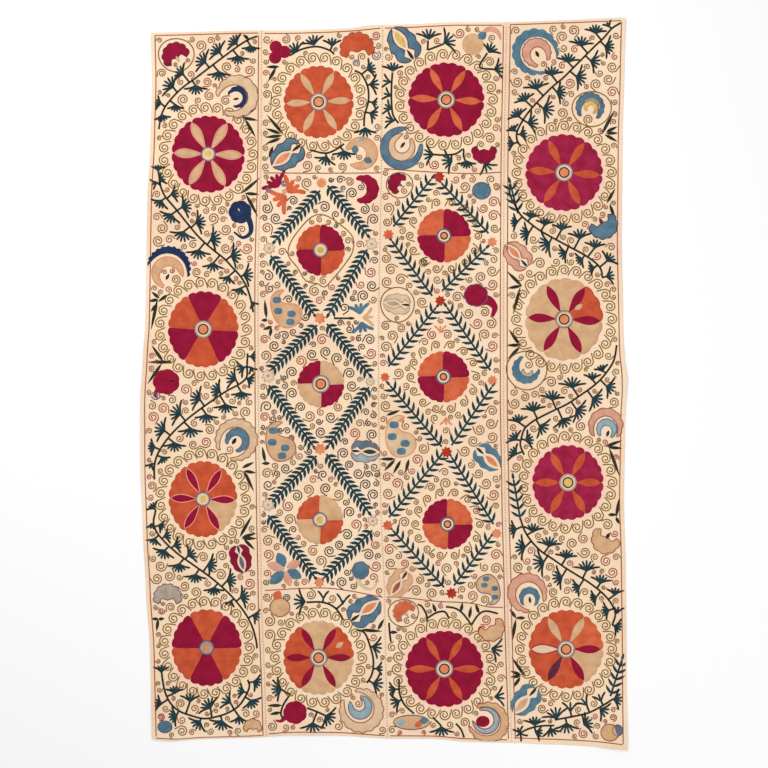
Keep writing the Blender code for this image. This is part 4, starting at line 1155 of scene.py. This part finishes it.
class Finish:
    """A material's nodes, added and linked one by one."""

    def __init__(self, name, roughness, sheen, specular):
        self.material = bpy.data.materials.new(name)
        self.material.use_nodes = True
        self.tree = self.material.node_tree
        self.shader = self.tree.nodes["Principled BSDF"]
        self.shader.inputs["Roughness"].default_value = roughness
        self.shader.inputs["Sheen Weight"].default_value = sheen
        self.shader.inputs["Specular IOR Level"].default_value = specular

    def node(self, kind, inputs, **settings):
        made = self.tree.nodes.new("ShaderNode" + kind)
        for name, value in settings.items():
            setattr(made, name, value)
        for name, value in inputs.items():
            if isinstance(value, bpy.types.NodeSocket):
                self.tree.links.new(value, made.inputs[name])
            else:
                made.inputs[name].default_value = value
        return made

    def mix(self, share, first, second, blend="MIX"):
        made = self.node("Mix", {0: share}, data_type="RGBA", blend_type=blend)
        for socket, value in ((made.inputs[6], first), (made.inputs[7], second)):
            if isinstance(value, bpy.types.NodeSocket):
                self.tree.links.new(value, socket)
            else:
                socket.default_value = value
        return made.outputs[2]

    def ramp(self, value, low, high):
        return self.node("MapRange", {"Value": value, "From Min": low, "From Max": high}).outputs[0]

    def colour(self, socket):
        self.tree.links.new(socket, self.shader.inputs["Base Color"])

    def bump(self, socket, strength, distance):
        made = self.node("Bump", {"Height": socket, "Strength": strength, "Distance": distance})
        self.tree.links.new(made.outputs[0], self.shader.inputs["Normal"])


def linear(colour):
    return (*screen_to_linear(colour), 1.0)


def silk_finish(slot):
    """Couched silk: long threads laid side by side and tied down by short stitches, in two near tones, with painted
    shade darkening the gaps between the threads.
    """
    finish = Finish(slot, 0.62, 0.03, 0.14)
    main = finish.node("Attribute", {}, attribute_name="thread").outputs["Color"]
    shade = finish.node("Attribute", {}, attribute_name="thread_shade").outputs["Color"]
    runs = finish.node("UVMap", {}, uv_map="stitches").outputs[0]
    stretched = finish.node("Mapping", {"Vector": runs, "Scale": (55, 330, 1)}).outputs[0]
    streaks = finish.node("TexNoise", {"Vector": stretched, "Scale": 1.0, "Detail": 3.0}).outputs[0]
    place = finish.node("TexCoord", {}).outputs["Object"]
    cloudy = finish.node("TexNoise", {"Vector": place, "Scale": 34.0, "Detail": 2.0}).outputs[0]
    blend = finish.node("Math", {0: finish.ramp(streaks, 0.38, 0.66), 1: finish.ramp(cloudy, 0.3, 0.7)},
                        operation="MULTIPLY_ADD")
    blend.inputs[1].default_value = 0.6
    finish.tree.links.new(finish.ramp(cloudy, 0.36, 0.74), blend.inputs[2])
    couching = finish.node("TexBrick", {"Vector": runs, "Scale": 1.0, "Mortar Size": 0.00022,
                                        "Brick Width": COUCH_LENGTH, "Row Height": THREAD_PITCH}, offset=0.37)
    tone = finish.mix(finish.ramp(blend.outputs[0], 0.1, 1.2), main, shade)
    # Painted shade: the couching gaps, which the bump also sinks, darken the thread colour towards its second tone.
    gaps = finish.node("Math", {0: couching.outputs["Fac"], 1: 0.20}, operation="MULTIPLY").outputs[0]
    finish.colour(finish.mix(gaps, tone, shade, "MULTIPLY"))
    height = finish.node("Math", {0: couching.outputs["Fac"], 1: -0.7, 2: streaks}, operation="MULTIPLY_ADD")
    finish.bump(height.outputs[0], 0.7, 0.0006)
    return finish.material


def cotton_finish():
    """Hand-loomed cotton: uneven warp and weft, slubs, yellowed patches and pink bleeding by the red silk."""
    finish = Finish("cotton_ground", 0.92, 0.08, 0.2)
    place = finish.node("TexCoord", {}).outputs["Object"]
    wander = finish.node("TexNoise", {"Vector": place, "Scale": 60.0, "Detail": 1.0}).outputs[0]
    threads = []
    for direction, pitch in (("X", WARP_PITCH), ("Y", WEFT_PITCH)):
        wave = finish.node("TexWave", {"Vector": place, "Scale": math.pi / 10 / pitch, "Distortion": 2.0,
                                       "Detail": 1.0, "Detail Scale": 0.4}, bands_direction=direction)
        threads.append(wave.outputs["Fac"])
    weave = finish.node("Math", {0: threads[0], 1: threads[1]}, operation="ADD").outputs[0]
    slub_runs = finish.node("Mapping", {"Vector": place, "Scale": (14, 520, 1)}).outputs[0]
    slubs = finish.node("TexNoise", {"Vector": slub_runs, "Scale": 1.0, "Detail": 2.0}).outputs[0]
    broad = finish.node("TexNoise", {"Vector": place, "Scale": 3.2, "Detail": 3.0}).outputs[0]
    base = finish.mix(finish.ramp(broad, 0.35, 0.68), linear((241, 215, 185)), linear((232, 200, 168)))
    base = finish.mix(finish.ramp(slubs, 0.58, 0.80), base, linear((220, 186, 150)))
    base = finish.mix(finish.ramp(wander, 0.52, 1.1), base, linear((240, 220, 192)))
    stain = finish.node("Attribute", {}, attribute_name="stain").outputs["Color"]
    shares = finish.node("SeparateColor", {"Color": stain})
    yellow = finish.node("Math", {0: shares.outputs[1], 1: 0.55}, operation="MULTIPLY").outputs[0]
    base = finish.mix(yellow, base, linear((240, 214, 168)))
    pink = finish.node("Math", {0: shares.outputs[0], 1: 0.42}, operation="MULTIPLY").outputs[0]
    finish.colour(finish.mix(pink, base, linear((238, 172, 158))))
    height = finish.node("Math", {0: weave, 1: 0.5, 2: slubs}, operation="MULTIPLY_ADD").outputs[0]
    finish.bump(height, 0.5, 0.0004)
    return finish.material


def studio():
    """A pale floor, soft lights and the camera straight above, as the cloth is photographed."""
    bpy.ops.mesh.primitive_plane_add(size=FLOOR_SIZE, location=(0, 0, FLOOR_DROP))
    floor = bpy.context.object
    floor.name = "pale_floor"
    paper = Finish("pale_paper", 0.9, 0.0, 0.1)
    paper.shader.inputs["Base Color"].default_value = (0.9, 0.9, 0.9, 1.0)
    floor.data.materials.append(paper.material)
    world = bpy.data.worlds.new("studio_light")
    world.use_nodes = True
    world.node_tree.nodes["Background"].inputs["Color"].default_value = (1, 1, 1, 1)
    world.node_tree.nodes["Background"].inputs["Strength"].default_value = WORLD_LIGHT
    bpy.context.scene.world = world
    for place, size, power in SOFT_LIGHTS:
        bpy.ops.object.light_add(type="AREA", location=place)
        lamp = bpy.context.object
        lamp.data.size = size
        lamp.data.energy = power
        lamp.rotation_mode = "QUATERNION"
        lamp.rotation_quaternion = (-Vector(place)).to_track_quat("-Z", "Y")
    bpy.ops.object.camera_add(location=(0, 0, CAMERA_HEIGHT))
    camera = bpy.context.object
    camera.data.lens = CAMERA_LENS
    camera.data.sensor_width = CAMERA_SENSOR
    bpy.context.scene.camera = camera
    bpy.context.scene.view_settings.view_transform = "Standard"


def main():
    strips = (
        ("strip_left_border", LEFT_EDGE, LEFT_SEAM, HEM_WIDTH, SEAM_FOLD_WIDTH),
        ("strip_centre_left", LEFT_SEAM, CENTRE_SEAM, SEAM_FOLD_WIDTH, SEAM_FOLD_WIDTH),
        ("strip_centre_right", CENTRE_SEAM, RIGHT_SEAM, SEAM_FOLD_WIDTH, SEAM_FOLD_WIDTH),
        ("strip_right_border", RIGHT_SEAM, RIGHT_EDGE, SEAM_FOLD_WIDTH, HEM_WIDTH),
    )
    cotton = cotton_finish()
    embroider()
    for name, left_line, right_line, left_hem, right_hem in strips:
        sheet, flat = strip_sheet(name, left_line, right_line, left_hem, right_hem)
        paint_ground(sheet)
        sheet.data.materials.append(cotton)
        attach(sheet, "root")
        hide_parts(name)
    finishes = {slot: silk_finish(slot) for slot in sorted({slot for _, slot in silk})}
    for (place, slot), work in silk.items():
        made = make_silk(place, slot, work, finishes[slot])
        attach(made, "root")
    studio()


main()
